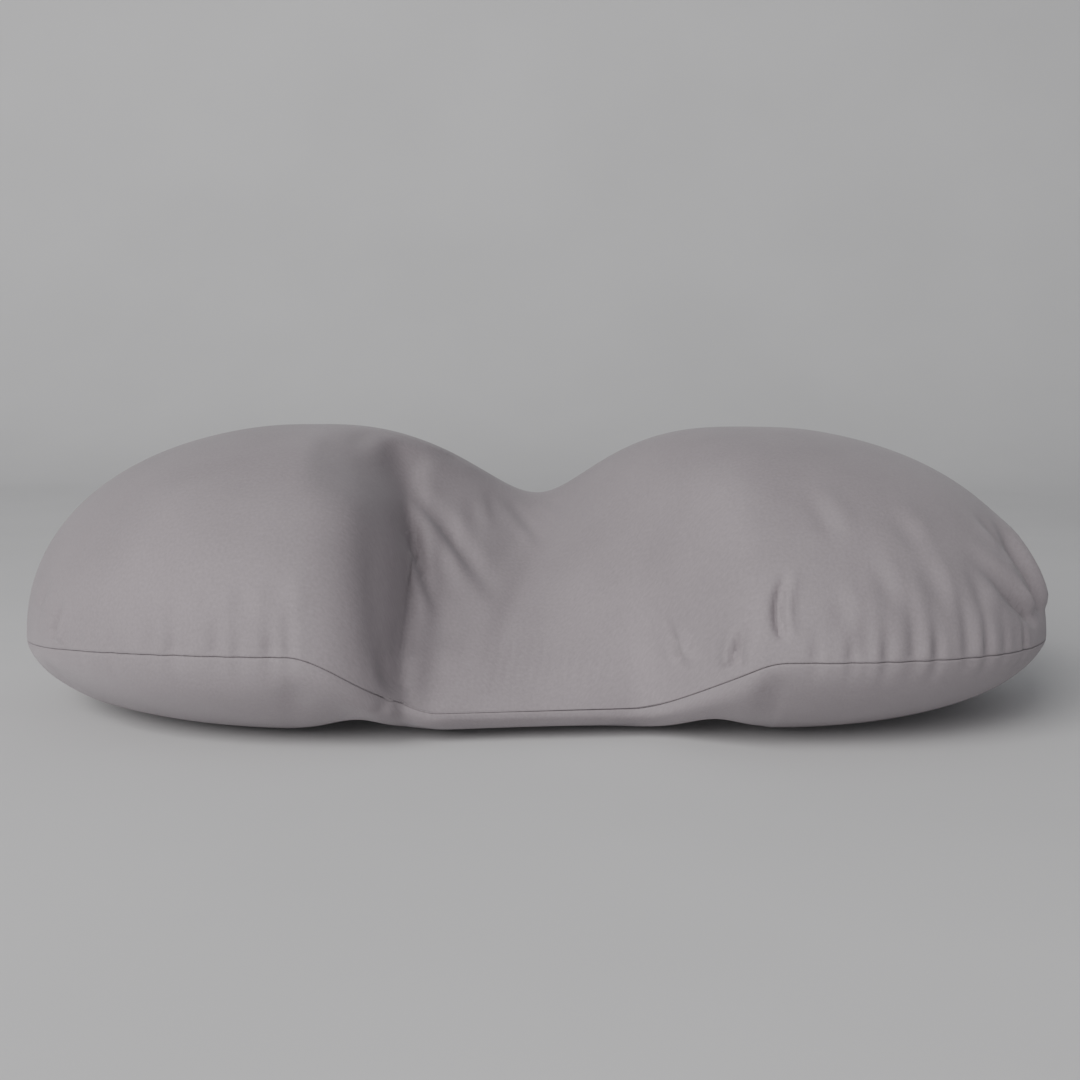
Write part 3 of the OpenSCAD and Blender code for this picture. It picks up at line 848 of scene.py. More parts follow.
def lining_panel(name, up):
    """A closed sheet between the lining's two grids, with both its edges turned in."""
    def rows_of(grid, offsets):
        rows = grid[:seam_row + 1][::-1] if up > 0 else grid[seam_row:]
        return np.concatenate([turned_edge(rows[0], offsets, up)[::-1], rows[1:]])

    def flat_of(grid, count):
        rows = grid[:seam_row + 1][::-1] if up > 0 else grid[seam_row:]
        return np.concatenate([np.stack([rows[0]] * count), rows[1:]])

    outer = rows_of(liner_grid, [(0.3, 0.5), (1.2, 0.15), (4.0, 0.15)])
    inner = rows_of(liner_under, [(1.4, 1.2), (3.4, 0.8)])
    return closed_sheet(name, outer, inner, flat_of(flat, 3), flat_of(flat, 2), up)


liner_top = place(lining_panel("liner_top_cotton", 1), "liner_top_panel")
liner_bottom = place(lining_panel("liner_bottom_cotton", -1), "liner_bottom_panel")
liner_areas = [area_of(liner_grid[:seam_row + 1]), area_of(liner_grid[seam_row:])]
print(f"lining: top {liner_areas[0]:.3f} m2, bottom {liner_areas[1]:.3f} m2")

# %% [markdown]
# The filling is soft fibre in three chambers. Each lump is the inner grid cut at the baffles, with a lumpy
# surface from noise, because fibre never fills a corner evenly. Its flat walls are made by joining the front
# column to the rear column across from it. They are built as one closed ring per station: down the front,
# across the foot, up the rear and across the crown. Joining these rings from station to station makes a
# tube, and its two ends are filled.

# %% Build the lumps
def station_rings(body, front, rear, across=5):
    """One closed ring of points per station: front rows down, foot across, rear rows up, crown across."""
    t = np.linspace(0, 1, across + 2)[1:-1][:, None, None]
    a, b = body[:, front], body[:, rear]
    return np.concatenate([a, mix(a[-1], b[-1], t), b[::-1], mix(b[0], a[0], t)])


def filled(name, rings):
    """A closed mesh from rings (points round the ring, stations, 3), with fan ends round their centres."""
    n, m = rings.shape[:2]
    i = np.arange(n)[:, None]
    k = np.arange(m - 1)[None, :]
    j = (i + 1) % n
    faces = np.stack([j * m + k, j * m + k + 1, i * m + k + 1, i * m + k], -1).reshape(-1, 4).tolist()
    ends = np.stack([rings[:, 0].mean(0), rings[:, -1].mean(0)])
    i, j = i[:, 0], j[:, 0]
    faces += np.stack([j * m, i * m, np.full(n, n * m)], -1).tolist()
    faces += np.stack([i * m + m - 1, j * m + m - 1, np.full(n, n * m + 1)], -1).tolist()
    return new_mesh(name, np.concatenate([rings.reshape(-1, 3), ends]), faces)


def fibre_lump(name, kind, seed):
    """One chamber's filling."""
    rough = 1.5 * MM * noise_ring(base.shape[0], columns, 12, 80, seed)
    rough += 0.8 * MM * noise_ring(base.shape[0], columns, 28, 160, seed + 1)
    body = layer(9.0 * MM)
    body = body + normals_of(body) * (rough - 1.2 * MM)[..., None]
    x = crown_line(at)[:, 0]
    edge = baffle_x - 0.1 * MM
    chamber = {"left": x < -edge, "waist": np.abs(x) < edge + 0.2 * MM, "right": x > edge}[kind]
    chamber[0] = False
    front = np.flatnonzero(chamber & (at["side"] < 0))
    rings = station_rings(body, front, (columns - front) % columns)
    low_wall, high_wall = {"left": (None, -baffle_x), "waist": (-baffle_x, baffle_x),
                           "right": (baffle_x, None)}[kind]
    gap = 1.2 * MM
    if low_wall is not None:
        rings[:, 0, 0] = low_wall + gap
    if high_wall is not None:
        rings[:, -1, 0] = high_wall - gap
    piece = filled(name, rings)
    return place(piece, "fill_" + kind)


fills = [fibre_lump("fibre_" + kind, kind, seed)
         for kind, seed in (("left", 31), ("waist", 41), ("right", 51))]
print("chambers:", ", ".join(f"{piece.name} with {len(piece.data.polygons)} faces" for piece in fills))

# %% [markdown]
# A baffle is a wall of lining cotton sewn across the inner pillow, which keeps the fibre in its chamber. It
# is the section of the lining at its station: front points down one side, rear points down the other, and
# rows of points between them. The cloth is slack between its seams, so it ripples by a millimetre.


def baffle(name, hand):
    """A closed sheet 0.6 mm thick in the plane of the station, with a slight ripple."""
    x = crown_line(at)[:, 0]
    inside = layer(5.6 * MM)[:seam_row + rows_under + 1]
    k = int(np.argmin(np.abs(x - hand * baffle_x) + (at["side"] > 0)))
    front, rear = inside[:, k], inside[:, (columns - k) % columns]
    t = np.linspace(0, 1, 41)[None, :, None]
    sheet = mix(front[:, None], rear[:, None], t)
    sheet[..., 0] = hand * baffle_x
    y, z = sheet[..., 1], sheet[..., 2]
    slack = np.sin(math.pi * t[..., 0]) ** 0.5
    ripple = 0.45 * MM * slack * (np.sin(y * 95 + 2 * np.sin(z * 40)) + 0.5 * np.sin(z * 130 + y * 30))
    both = [sheet + np.stack([ripple + o * 0.3 * MM, 0 * y, 0 * z], -1) for o in (-1, 1)]
    n, m = sheet.shape[:2]
    i = np.arange(n - 1)[:, None] * m
    j = np.arange(m - 1)[None, :]
    face = np.stack([i + j, i + j + 1, i + m + j + 1, i + m + j], -1).reshape(-1, 4)
    edge = np.concatenate([np.arange(m), np.arange(2, n + 1) * m - 1, n * m - 2 - np.arange(m - 1),
                           np.arange(n - 2, 0, -1) * m])
    after = np.roll(edge, -1)
    rim = np.stack([edge, edge + n * m, after + n * m, after], -1)
    faces = face[:, ::-1].tolist() + (face + n * m).tolist() + rim.tolist()
    points = np.concatenate([b.reshape(-1, 3) for b in both])
    piece = new_mesh(name + "_cotton", points, faces, points[:, 1:])
    mesh_faces_out(piece)
    return place(piece, name)


def mesh_faces_out(piece):
    """Turns the faces of a closed mesh outwards."""
    work = bmesh.new()
    work.from_mesh(piece.data)
    bmesh.ops.recalc_face_normals(work, faces=work.faces)
    work.to_mesh(piece.data)
    work.free()


baffles = [baffle("baffle_left", -1), baffle("baffle_right", 1)]

# %% [markdown]
# These are the four panels of cloth. The cover rests on the lining and the lining on the filling.

print("cloth declared:", ", ".join(p.name for p in (cover_top, cover_under, liner_top, liner_bottom)))

# %% [markdown]
# Threads and zip teeth are one shape repeated many times: a short bent rod with round ends. Its centre line
# is a few points in the frame of its place: along the seam, outwards and across. All the rods of a row are
# worked out together, as one array of rod, ring and side.

# %% Rows of bent rods
def rods(name, middle, along, out, line, thick, sides=6):
    """Bent rods at places: middle, along and out are (n, 3); line is (rings, 3) as along, out and across.

    A ring's points are centre + thick (cos b * u + sin b * v), with u and v square to the rod's direction.
    """
    across = np.cross(along, out)
    frames = np.stack([along, out, across], 1)
    line = np.array(line, float) * MM
    centres = middle[:, None] + np.einsum("rk,nkj->nrj", line, frames)
    heading = np.gradient(line, axis=0)
    heading /= np.linalg.norm(heading, axis=-1, keepdims=True)
    pick = np.array([0.31, 0.93, 0.19])
    u = np.cross(heading, pick)
    u /= np.linalg.norm(u, axis=-1, keepdims=True)
    v = np.cross(heading, u)
    b = np.arange(sides) * 2 * math.pi / sides
    ring = np.cos(b)[None, :, None] * u[:, None] + np.sin(b)[None, :, None] * v[:, None]
    radius = np.full(len(line), thick) * MM
    radius[[0, -1]] *= 0.45
    ring = ring * radius[:, None, None]
    points = centres[:, :, None] + np.einsum("rsk,nkj->nrsj", ring, frames)
    count, rings = points.shape[:2]
    r = np.arange(rings - 1)[:, None] * sides
    q = np.arange(sides)[None, :]
    w = (q + 1) % sides
    tube = np.stack([r + q, r + w, r + sides + w, r + sides + q], -1).reshape(-1, 4)
    starts = np.arange(count)[:, None] * rings * sides
    faces = (tube[None] + starts[..., None]).reshape(-1, 4).tolist()
    faces += (np.arange(sides)[::-1][None] + starts).tolist()
    faces += (np.arange(sides)[None] + (rings - 1) * sides + starts).tolist()
    piece = new_mesh(name, points, faces)
    mesh_faces_out(piece)
    return piece


def places_along(path, pitch, closed=True):
    """Evenly spaced places on a polyline: their middles and their directions."""
    ring = np.concatenate([path, path[:1]]) if closed else path
    walk = np.concatenate([[0], np.cumsum(np.linalg.norm(np.diff(ring, axis=0), axis=-1))])
    s = np.arange(0, walk[-1] - pitch / 2, pitch)
    spot = np.stack([np.interp(s, walk, ring[:, k]) for k in range(3)], -1)
    ahead = np.stack([np.interp(s + pitch / 3, walk, ring[:, k]) for k in range(3)], -1)
    along = ahead - spot
    return spot, along / np.linalg.norm(along, axis=-1, keepdims=True)


def outward_at(along):
    """Level unit vectors square to the seam, away from the pillow."""
    out = np.stack([along[:, 1], -along[:, 0], 0 * along[:, 0]], -1)
    return out / np.linalg.norm(out, axis=-1, keepdims=True)


# %% [markdown]
# The cover's seam is closed by a lockstitch: one dip of thread every 2.4 mm, deep in the groove between the
# two turned edges. The lining has the same stitch, a little longer.

# %% Seam threads
def seam_thread(name, node, line, inset, pitch, thick):
    """A lockstitch row along a seam line, set in by inset; stitches dip at both ends."""
    path = line + inward_of(line) * inset
    middle, along = places_along(path, pitch)
    out = outward_at(along)
    reach = pitch / MM * 0.46
    shape = [(-reach, -0.35, 0), (-0.7 * reach, 0.0, 0), (0, 0.12, 0),
             (0.7 * reach, 0.0, 0), (reach, -0.35, 0)]
    piece = rods(name, middle, along, out, shape, thick)
    print(f"{name}: {len(middle)} stitches")
    return place(piece, node)


cover_thread = seam_thread("cover_seam_stitches", "cover_seam_thread",
                           dressed[fine_seam], 1.5 * MM, 2.4 * MM, 0.10)
liner_thread = seam_thread("liner_seam_stitches", "liner_seam_thread",
                           liner_grid[seam_row], 1.6 * MM, 2.9 * MM, 0.12)

# %% [markdown]
# The lining was filled through a gap at the rear of the left lobe and then closed by hand, with slanting
# whip stitches that bridge the seam.

# %% The closing stitches
line = liner_grid[seam_row]
angle = np.degrees(np.arctan2(line[:, 1], -(line[:, 0] + lobe_x)))
gap_line = line[(angle > 20) & (angle < 50) & (line[:, 1] > 0)]
middle, along = places_along(gap_line, 3.6 * MM, closed=False)
whip = [(-0.9, -0.7, -2.2), (-0.6, 0.25, -1.6), (0, 0.42, 0), (0.6, 0.25, 1.6), (0.9, -0.7, 2.2)]
closing = rods("liner_closing_stitches", middle, along, outward_at(along), whip, 0.22)
place(closing, "liner_closing_stitch")
print(f"closing stitches: {len(middle)}")

# %% [markdown]
# The zip runs round the rear of the right lobe on a true circle, so its slider can follow it. A coil zip is
# a nylon spiral on each tape: every turn crosses the middle and hooks between two turns of the other side,
# half a turn further on. Each turn is one bent rod with seven points.

# %% The zip's coils
zip_z = seam_rear_z
zip_centre = np.array([lobe_x, 0, zip_z])
chain_r = lobe_r - 1.0 * MM
coil_from = math.radians(16.3)
coil_to = math.radians(97.0)
turn_pitch = 1.5 * MM


def on_chain(angles):
    """Points on the zip's circle and the directions along it."""
    out = np.stack([np.cos(angles), np.sin(angles), 0 * angles], -1)
    along = np.stack([-np.sin(angles), np.cos(angles), 0 * angles], -1)
    return zip_centre + out * chain_r, along, out


def coil(name, node, hand):
    """The spiral of one side, as turns that lean across the middle."""
    pitch = turn_pitch / chain_r
    angles = np.arange(coil_from + (0.5 * pitch if hand < 0 else 0), coil_to, pitch)
    middle, along, out = on_chain(angles)
    line = [(-0.42, 0.62, 2.7), (-0.42, 0.80, 1.5), (-0.30, 0.62, 0.1), (0.0, 0.0, -0.55),
            (0.30, -0.62, 0.1), (0.42, -0.80, 1.5), (0.42, -0.62, 2.7)]
    line = [(a, b, -hand * c) for a, b, c in line]
    piece = rods(name, middle, along, out, line, 0.33)
    print(f"{name}: {len(middle)} turns")
    return place(piece, node)


coils = [coil("zip_coil_turns_upper", "zip_coil_upper", 1),
         coil("zip_coil_turns_lower", "zip_coil_lower", -1)]

# %% [markdown]
# Each tape is a strip of woven ribbon. It starts behind the coil, runs flat under the cover's hem and then
# leans in with the pillow. It is a profile of five points carried round the zip's arc.

# %% The zip's tapes
tape_from = math.radians(9.5)
tape_to = math.radians(99.0)


def tape(name, node, hand):
    """A closed strip: profile points (inwards, up) in mm, swept over the arc, 0.5 mm thick."""
    lean = 1.9 if hand > 0 else 5.0
    sink = 0.0 if hand > 0 else 1.0
    inner = [(0.35, 1.2), (0.25, 2.6), (0.3, 4.3), (1.0 + 0.6 * sink, 5.2), (1.9 + sink, 6.4),
             (lean + 0.3, 9.0), (lean + 0.5, 11.0)]
    profile = inner + [(a + 0.5, b) for a, b in inner[::-1]]
    profile = np.array(profile) * MM
    angles = np.linspace(tape_from, tape_to, 241)
    middle, _, out = on_chain(angles)
    wave = 0.08 * MM * np.sin(angles * 160)[None, :, None]
    rings = (middle[None] - out[None] * (profile[:, 0][:, None, None] + wave)
             + np.array([0, 0, 1.0]) * hand * profile[:, 1][:, None, None])
    piece = filled(name, rings)
    mesh_faces_out(piece)
    across = np.linspace(0, 1, len(inner)) * 11 * MM
    v = np.concatenate([across, across[::-1]])
    uv = np.stack(np.broadcast_arrays(angles[None] * chain_r, v[:, None]), -1).reshape(-1, 2)
    lay_out(piece.data, np.concatenate([uv, uv[:1], uv[-1:]]))
    return place(piece, node)


tapes = [tape("zip_tape_ribbon_upper", "zip_tape_upper", 1),
         tape("zip_tape_ribbon_lower", "zip_tape_lower", -1)]
print(f"tapes: two of {(tape_to - tape_from) * chain_r:.3f} m")

# %% [markdown]
# A row of stitches beside each hem holds the cover to the tapes. Each lies on the cloth, so its places are
# taken from the panel's own rows, 2 mm from the fold.

# %% The zip's topstitching
def hem_rows(up):
    """The panel's fine rows from its hem, with the zip's opening in them."""
    rows = dressed[:fine_seam + 1][::-1] if up > 0 else dressed[fine_seam:]
    return slid(rows, zip_gap * zip_opening(rows[0]))


def stitch_line(up, distance):
    """Points on the cloth at a distance from the hem, where the zip is, and the cloth's normals there."""
    rows = hem_rows(up)
    walk = np.cumsum(np.linalg.norm(np.diff(rows, axis=0, prepend=rows[:1]), axis=-1), 0)
    k = np.argmax(walk >= distance, axis=0)
    cols = np.arange(rows.shape[1])
    w0, w1 = walk[k - 1, cols], walk[k, cols]
    f = ((distance - w0) / (w1 - w0))[:, None]
    spot = mix(rows[k - 1, cols], rows[k, cols], f)
    normal = np.cross(rows[k, cols] - rows[k - 1, cols], np.roll(rows[k, cols], -1, 0) - rows[k, cols])
    normal *= -up / np.linalg.norm(normal, axis=-1, keepdims=True)
    turn = np.arctan2(rows[0][:, 1], rows[0][:, 0] - lobe_x)
    use = np.flatnonzero((turn > zip_from + 0.05) & (turn < zip_to - 0.03) & (rows[0][:, 1] > 0))
    return spot[use], normal[use]


topstitches = []
for hand in (1, -1):
    spots, normals = stitch_line(hand, 2.2 * MM)
    walk = np.concatenate([[0], np.cumsum(np.linalg.norm(np.diff(spots, axis=0), axis=-1))])
    s = np.arange(1.5 * MM, walk[-1] - 2 * MM, 2.8 * MM)
    middle = np.stack([np.interp(s, walk, spots[:, k]) for k in range(3)], -1)
    out = np.stack([np.interp(s, walk, normals[:, k]) for k in range(3)], -1)
    ahead = np.stack([np.interp(s + 1 * MM, walk, spots[:, k]) for k in range(3)], -1)
    along = (ahead - middle) / np.linalg.norm(ahead - middle, axis=-1, keepdims=True)
    out -= along * np.sum(out * along, -1, keepdims=True)
    out /= np.linalg.norm(out, axis=-1, keepdims=True)
    topstitches.append((middle, along, out))
middle, along, out = (np.concatenate(v) for v in zip(*topstitches))
topstitch = rods("zip_topstitches", middle, along, out,
                 [(-1.15, -0.35, 0), (-0.9, 0.06, 0), (0, 0.16, 0), (0.9, 0.06, 0), (1.15, -0.35, 0)], 0.16)
place(topstitch, "zip_topstitching")
print(f"topstitching: {len(middle)} stitches")

# %% [markdown]
# The care label is a piece of satin ribbon folded double and sewn into the seam at the rear of the left
# lobe. It is blank. It hangs down over the lower panel with a gentle curl, as a surface of two parameters:
# across the ribbon, and along it from one end, round the fold and back to the other end.

# %% The care label
def label():
    """Along the ribbon the path goes down, round the fold and up; across it a slow wave bends it."""
    box_low, box_high = (np.array(p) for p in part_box("care_label"))
    turn = math.radians(117.0)
    out = np.array([math.cos(turn), math.sin(turn), 0])
    side = np.array([-math.sin(turn), math.cos(turn), 0])
    root = np.array([-lobe_x, 0, seam_rear_z]) + out * (lobe_r - 0.6 * MM)
    drop = (box_high[2] - box_low[2]) - 1.0 * MM
    width = 22 * MM
    w = np.linspace(-0.5, 0.5, 25)[:, None]
    t = np.linspace(0, 1, 61)[None, :]
    down = drop * np.sin(math.pi * np.clip(t, 0, 1)) ** 0.8
    gap = 0.7 * MM * np.where(t < 0.5, 1, -1) * (np.abs(2 * t - 1) ** 0.5) * np.sin(math.pi * t) ** 0.3
    curl = 3.2 * MM * (down / drop) ** 2 + 0.9 * MM * np.sin(w * 5 + 1) * (down / drop)
    points = (root + side * (w * width)[..., None] * np.ones_like(t)[..., None]
              + out * (curl + gap + 0.5 * MM)[..., None] - np.array([0, 0, 1.0]) * (down + 0 * w)[..., None])
    n, m = points.shape[:2]
    i = np.arange(n - 1)[:, None] * m
    j = np.arange(m - 1)[None, :]
    faces = np.stack([i + j, i + m + j, i + m + j + 1, i + j + 1], -1).reshape(-1, 4).tolist()
    uv = np.stack(np.broadcast_arrays(w * width, t * 2 * drop), -1)
    piece = new_mesh("care_label_satin", points, faces, uv)
    solid = piece.modifiers.new("thickness", "SOLIDIFY")
    solid.thickness = 0.18 * MM
    solid.offset = 0.0
    return place(piece, "care_label")


care_label = label()
print("care label:", len(care_label.data.polygons), "faces, blank")

# %% [markdown]
# The knit is a fine jersey. Its columns of V-shaped loops are only a millimetre apart, so they are a bump
# worked out from the cloth's own coordinates: across a loop the thread leans one way and then the other.
# Slow noise makes the dye a little uneven, and a soft sheen stands for the fuzz of the yarn.

# %% Node helpers
def shader_tree(name):
    """A new material with its nodes, and its Principled shader."""
    material = bpy.data.materials.new(name)
    material.use_nodes = True
    return material, material.node_tree, material.node_tree.nodes["Principled BSDF"]


def maths(tree, kind, a, b=None, c=None):
    """One Math node; a, b and c are numbers or sockets."""
    node = tree.nodes.new("ShaderNodeMath")
    node.operation = kind
    for socket, value in zip(node.inputs, (a, b, c)):
        if value is None:
            continue
        if isinstance(value, (int, float)):
            socket.default_value = value
        else:
            tree.links.new(value, socket)
    return node.outputs[0]


def noise(tree, vector, scale, detail=2.0, rough=0.5):
    """The value of a Noise texture at a vector."""
    node = tree.nodes.new("ShaderNodeTexNoise")
    node.inputs["Scale"].default_value = scale
    node.inputs["Detail"].default_value = detail
    node.inputs["Roughness"].default_value = rough
    tree.links.new(vector, node.inputs["Vector"])
    return node.outputs["Fac"]


def ramp(tree, value, stops):
    """A Color Ramp over a value, from stops of (position, colour)."""
    node = tree.nodes.new("ShaderNodeValToRGB")
    while len(node.color_ramp.elements) < len(stops):
        node.color_ramp.elements.new(0.5)
    for element, (position, colour) in zip(node.color_ramp.elements, stops):
        element.position = position
        element.color = (*colour, 1)
    tree.links.new(value, node.inputs["Fac"])
    return node.outputs["Color"]


def bump(tree, shader, height, distance, strength=1.0):
    """A Bump node into the shader's normal, with its height in metres at distance."""
    node = tree.nodes.new("ShaderNodeBump")
    node.inputs["Strength"].default_value = strength
    node.inputs["Distance"].default_value = distance
    tree.links.new(height, node.inputs["Height"])
    tree.links.new(node.outputs["Normal"], shader.inputs["Normal"])


def coordinates(tree, which):
    """A Texture Coordinate output: UV or Object."""
    return tree.nodes.new("ShaderNodeTexCoord").outputs[which]


# %% The cover's jersey knit
def jersey(name, colour, wale=1.0 * MM, course=0.75 * MM, depth=0.11 * MM):
    """Knit: height = half a wave across each wale, times a wave along it that leans with the loop's legs."""
    material, tree, shader = shader_tree(name)
    uv = coordinates(tree, "UV")
    split = tree.nodes.new("ShaderNodeSeparateXYZ")
    tree.links.new(uv, split.inputs[0])
    u = maths(tree, "DIVIDE", split.outputs[0], wale)
    v = maths(tree, "DIVIDE", split.outputs[1], course)
    leg = maths(tree, "ABSOLUTE", maths(tree, "SUBTRACT", maths(tree, "FRACT", u), 0.5))
    lean = maths(tree, "MULTIPLY_ADD", leg, 1.4, v)
    loops = maths(tree, "SINE", maths(tree, "MULTIPLY", lean, 2 * math.pi))
    ridge = maths(tree, "SINE", maths(tree, "MULTIPLY", leg, 2 * math.pi))
    knit = maths(tree, "MULTIPLY_ADD", loops, 0.35, ridge)
    fuzz = noise(tree, uv, 1400.0, 3.0, 0.7)
    height = maths(tree, "MULTIPLY_ADD", fuzz, 0.9, knit)
    bump(tree, shader, height, depth, 0.55)
    place_at = coordinates(tree, "Object")
    dye = noise(tree, place_at, 16.0, 4.0, 0.55)
    yarn = noise(tree, uv, 520.0, 2.0, 0.6)
    tone = maths(tree, "MULTIPLY_ADD", yarn, 0.5, maths(tree, "MULTIPLY", dye, 0.5))
    low = tuple(0.87 * c for c in colour)
    high = tuple(1.13 * c for c in colour)
    tree.links.new(ramp(tree, tone, [(0.3, low), (0.7, high)]), shader.inputs["Base Color"])
    shader.inputs["Roughness"].default_value = 0.92
    shader.inputs["Specular IOR Level"].default_value = 0.25
    shader.inputs["Sheen Weight"].default_value = 0.22
    shader.inputs["Sheen Roughness"].default_value = 0.45
    shader.inputs["Sheen Tint"].default_value = (0.95, 0.93, 0.96, 1)
    return material


def finish(material, *pieces):
    """Gives pieces one material."""
    for piece in pieces:
        piece.data.materials.clear()
        piece.data.materials.append(material)
    print(f"{material.name}: {', '.join(piece.name for piece in pieces)}")


finish(jersey("cover jersey", (0.284, 0.253, 0.266)), cover_top, cover_under)

# %% [markdown]
# The lining, the baffles and the tapes are plain-woven. A plain weave is two sets of threads that pass over
# and under each other, which is a product of two waves with every other crossing turned round. The same
# function makes all of them, with their own thread spacing, colour and roughness.

# %% Woven cloth
def woven(name, colour, spacing, depth, rough=0.85, gloss=0.2, twill=0.0):
    """Plain weave: height = sin(u) sin(v) of the thread count, and twill shifts each row to lean it."""
    material, tree, shader = shader_tree(name)
    uv = coordinates(tree, "UV")
    split = tree.nodes.new("ShaderNodeSeparateXYZ")
    tree.links.new(uv, split.inputs[0])
    u = maths(tree, "MULTIPLY", split.outputs[0], math.pi / spacing)
    v = maths(tree, "MULTIPLY", split.outputs[1], math.pi / spacing)
    u = maths(tree, "MULTIPLY_ADD", v, twill, u)
    cross = maths(tree, "MULTIPLY", maths(tree, "SINE", u), maths(tree, "SINE", v))
    slub = noise(tree, uv, 900.0, 3.0, 0.7)
    bump(tree, shader, maths(tree, "MULTIPLY_ADD", slub, 0.8, cross), depth, 0.6)
    tone = noise(tree, uv, 140.0, 3.0, 0.6)
    low = tuple(0.92 * c for c in colour)
    tree.links.new(ramp(tree, tone, [(0.3, low), (0.7, colour)]), shader.inputs["Base Color"])
    shader.inputs["Roughness"].default_value = rough
    shader.inputs["Specular IOR Level"].default_value = gloss
    shader.inputs["Sheen Weight"].default_value = 0.1
    return material


finish(woven("lining cotton", (0.80, 0.79, 0.76), 0.42 * MM, 0.10 * MM), liner_top, liner_bottom)
finish(woven("baffle cotton", (0.76, 0.75, 0.72), 0.50 * MM, 0.12 * MM), *baffles)
finish(woven("zip tape", (0.33, 0.30, 0.31), 0.50 * MM, 0.16 * MM, 0.8, 0.3, twill=1.0), *tapes)
finish(woven("label satin", (0.86, 0.85, 0.83), 0.22 * MM, 0.03 * MM, 0.35, 0.5), care_label)

# %% [markdown]
# The small parts have four finishes. Thread is twisted, which shows as a slanting wave. Nylon coil is
# moulded and a little shiny. The slider, the tab and the stops keep their meshes from the frame, and are
# enamelled zinc with some wear. Fibre is white and matt, and noise stretched one way gives its strands.

# %% Thread, coil, metal and fibre
def thread(name, colour, lay=0.5 * MM):
    """Twisted thread: a fine wave along a slant in Object coordinates, with a slight gloss."""
    material, tree, shader = shader_tree(name)
    split = tree.nodes.new("ShaderNodeSeparateXYZ")
    tree.links.new(coordinates(tree, "Object"), split.inputs[0])
    slant = maths(tree, "ADD", maths(tree, "ADD", split.outputs[0], split.outputs[1]), split.outputs[2])
    wave = maths(tree, "SINE", maths(tree, "MULTIPLY", slant, 2 * math.pi / lay))
    bump(tree, shader, wave, 0.04 * MM, 0.7)
    tone = noise(tree, coordinates(tree, "Object"), 700.0)
    low = tuple(0.85 * c for c in colour)
    tree.links.new(ramp(tree, tone, [(0.3, low), (0.7, colour)]), shader.inputs["Base Color"])
    shader.inputs["Roughness"].default_value = 0.6
    shader.inputs["Sheen Weight"].default_value = 0.3
    return material


def nylon(name, colour):
    """Moulded nylon: smooth and a little glossy under a thin coat, with faint flow marks."""
    material, tree, shader = shader_tree(name)
    marks = noise(tree, coordinates(tree, "Object"), 900.0, 2.0)
    low = tuple(0.85 * c for c in colour)
    tree.links.new(ramp(tree, marks, [(0.35, low), (0.65, colour)]), shader.inputs["Base Color"])
    bump(tree, shader, marks, 0.02 * MM, 0.4)
    shader.inputs["Roughness"].default_value = 0.38
    shader.inputs["Coat Weight"].default_value = 0.15
    return material


def cast_metal(name, colour):
    """Die-cast zinc under enamel: a fine pebble, with small bright wear where noise runs high."""
    material, tree, shader = shader_tree(name)
    spot = coordinates(tree, "Object")
    wear = noise(tree, spot, 260.0, 4.0, 0.65)
    low = tuple(0.8 * c for c in colour)
    high = tuple(min(1.0, 1.5 * c) for c in colour)
    worn = ramp(tree, wear, [(0.42, low), (0.60, colour), (0.74, high)])
    tree.links.new(worn, shader.inputs["Base Color"])
    bump(tree, shader, noise(tree, spot, 1500.0, 2.0), 0.03 * MM, 0.35)
    tree.links.new(ramp(tree, wear, [(0.4, (0.42,) * 3), (0.7, (0.28,) * 3)]), shader.inputs["Roughness"])
    shader.inputs["Metallic"].default_value = 0.85
    return material


def fibre(name):
    """Hollow polyester fibre: stretched noise for the strands, white, soft and matt."""
    material, tree, shader = shader_tree(name)
    spot = coordinates(tree, "Object")
    turn = tree.nodes.new("ShaderNodeMapping")
    turn.inputs["Scale"].default_value = (1.0, 3.0, 2.0)
    tree.links.new(spot, turn.inputs["Vector"])
    strands = noise(tree, turn.outputs[0], 300.0, 5.0, 0.75)
    lumps = noise(tree, spot, 60.0, 3.0, 0.5)
    bump(tree, shader, maths(tree, "MULTIPLY_ADD", lumps, 2.0, strands), 0.9 * MM, 0.8)
    tree.links.new(ramp(tree, strands, [(0.3, (0.80, 0.80, 0.80)), (0.7, (0.92, 0.92, 0.91))]),
                   shader.inputs["Base Color"])
    shader.inputs["Roughness"].default_value = 0.95
    shader.inputs["Sheen Weight"].default_value = 0.4
    return material


finish(thread("cover thread", (0.25, 0.22, 0.225)), cover_thread)
finish(thread("lining thread", (0.74, 0.74, 0.71)), liner_thread, closing)
finish(thread("topstitch thread", (0.62, 0.60, 0.60)), topstitch)
finish(nylon("zip nylon", (0.30, 0.275, 0.285)), *coils)
finish(fibre("hollow fibre"), *fills)
metal = cast_metal("enamelled zinc", (0.36, 0.35, 0.36))
for name in ("zip_top_stops", "zip_bottom_stop", "zip_slider", "zip_pull_tab"):
    for slot in bpy.data.objects[name].material_slots:
        slot.material = metal
print("enamelled zinc: the stops, the slider and the pull tab")

# %% [markdown]
# The stage is one sheet of pale floor that curves up into a backdrop, so no corner shows. The camera stands
# low in front of the pillow, a metre away, and looks slightly down at it. A large soft light from the front
# left models the lobes and the folds, and a weak one from low in front lifts the shade under the seam.

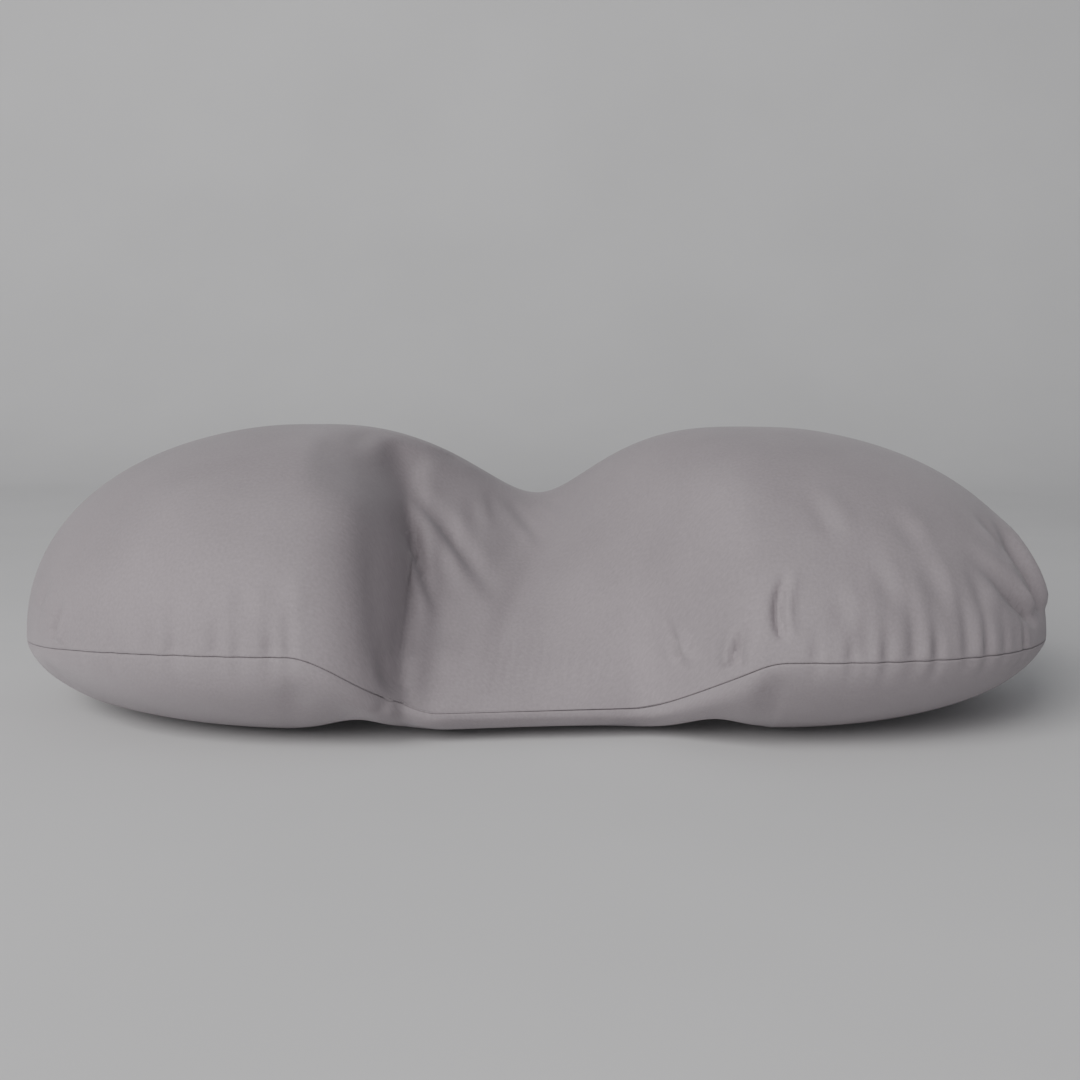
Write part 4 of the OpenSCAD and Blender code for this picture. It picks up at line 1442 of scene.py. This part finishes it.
# %% Stage, camera and light
def stage_floor(half=9.0, bend_y=1.6, bend_r=0.9, top=3.0):
    """A pale floor that bends up into a backdrop over a quarter circle, as one sheet."""
    bend = [(bend_y + bend_r * math.sin(a), bend_r - bend_r * math.cos(a))
            for a in np.linspace(0.1, math.pi / 2, 12)]
    profile = [(-half, 0.0), (bend_y, 0.0)] + bend + [(bend_y + bend_r, top)]
    points = [(x, y, z) for y, z in profile for x in (-half, half)]
    faces = [[2 * i, 2 * i + 1, 2 * i + 3, 2 * i + 2] for i in range(len(profile) - 1)]
    piece = new_mesh("floor", points, faces)
    material, tree, shader = shader_tree("pale floor")
    place_at = coordinates(tree, "Object")
    tone = noise(tree, place_at, 3.0, 3.0)
    tree.links.new(ramp(tree, tone, [(0.3, (0.66, 0.66, 0.66)), (0.7, (0.70, 0.70, 0.70))]),
                   shader.inputs["Base Color"])
    shader.inputs["Roughness"].default_value = 0.95
    piece.data.materials.append(material)


stage_floor()


def aim(thing, place_of, target, roll_deg=0.0):
    """Turns a camera or light at place_of so that it looks at target."""
    look = Vector(target) - Vector(place_of)
    turn = look.to_track_quat("-Z", "Y").to_matrix().to_4x4()
    roll_by = Matrix.Rotation(math.radians(roll_deg), 4, "Z")
    thing.matrix_world = Matrix.Translation(place_of) @ turn @ roll_by


camera_data = bpy.data.cameras.new("camera")
camera_data.sensor_width = 36.0
camera_data.lens = 53.4
camera = bpy.data.objects.new("camera", camera_data)
bpy.context.scene.collection.objects.link(camera)
aim(camera, (0.0, -0.990, 0.2086), (0.0018, 0.0, 0.0990), roll_deg=0.34)
bpy.context.scene.camera = camera


def area_light(name, place_of, target, size, watts, colour):
    """A soft rectangular light."""
    data = bpy.data.lights.new(name, "AREA")
    data.shape = "RECTANGLE"
    data.size, data.size_y = size
    data.energy = watts
    data.color = colour
    light = bpy.data.objects.new(name, data)
    bpy.context.scene.collection.objects.link(light)
    aim(light, place_of, target)


area_light("key", (-1.85, -3.05, 1.95), (0.0, 0.0, 0.08), (2.8, 2.2), 158.0, (1.0, 0.985, 0.98))
area_light("front", (-0.6, -4.6, 0.42), (0.0, 0.0, 0.05), (3.6, 0.8), 40.0, (0.98, 0.98, 1.0))
world = bpy.data.worlds.new("studio")
world.use_nodes = True
world.node_tree.nodes["Background"].inputs["Color"].default_value = (0.93, 0.95, 1.0, 1)
world.node_tree.nodes["Background"].inputs["Strength"].default_value = 0.24
bpy.context.scene.world = world
print(f"camera: {camera_data.lens} mm lens, lights: {', '.join(light.name for light in bpy.data.lights)}")
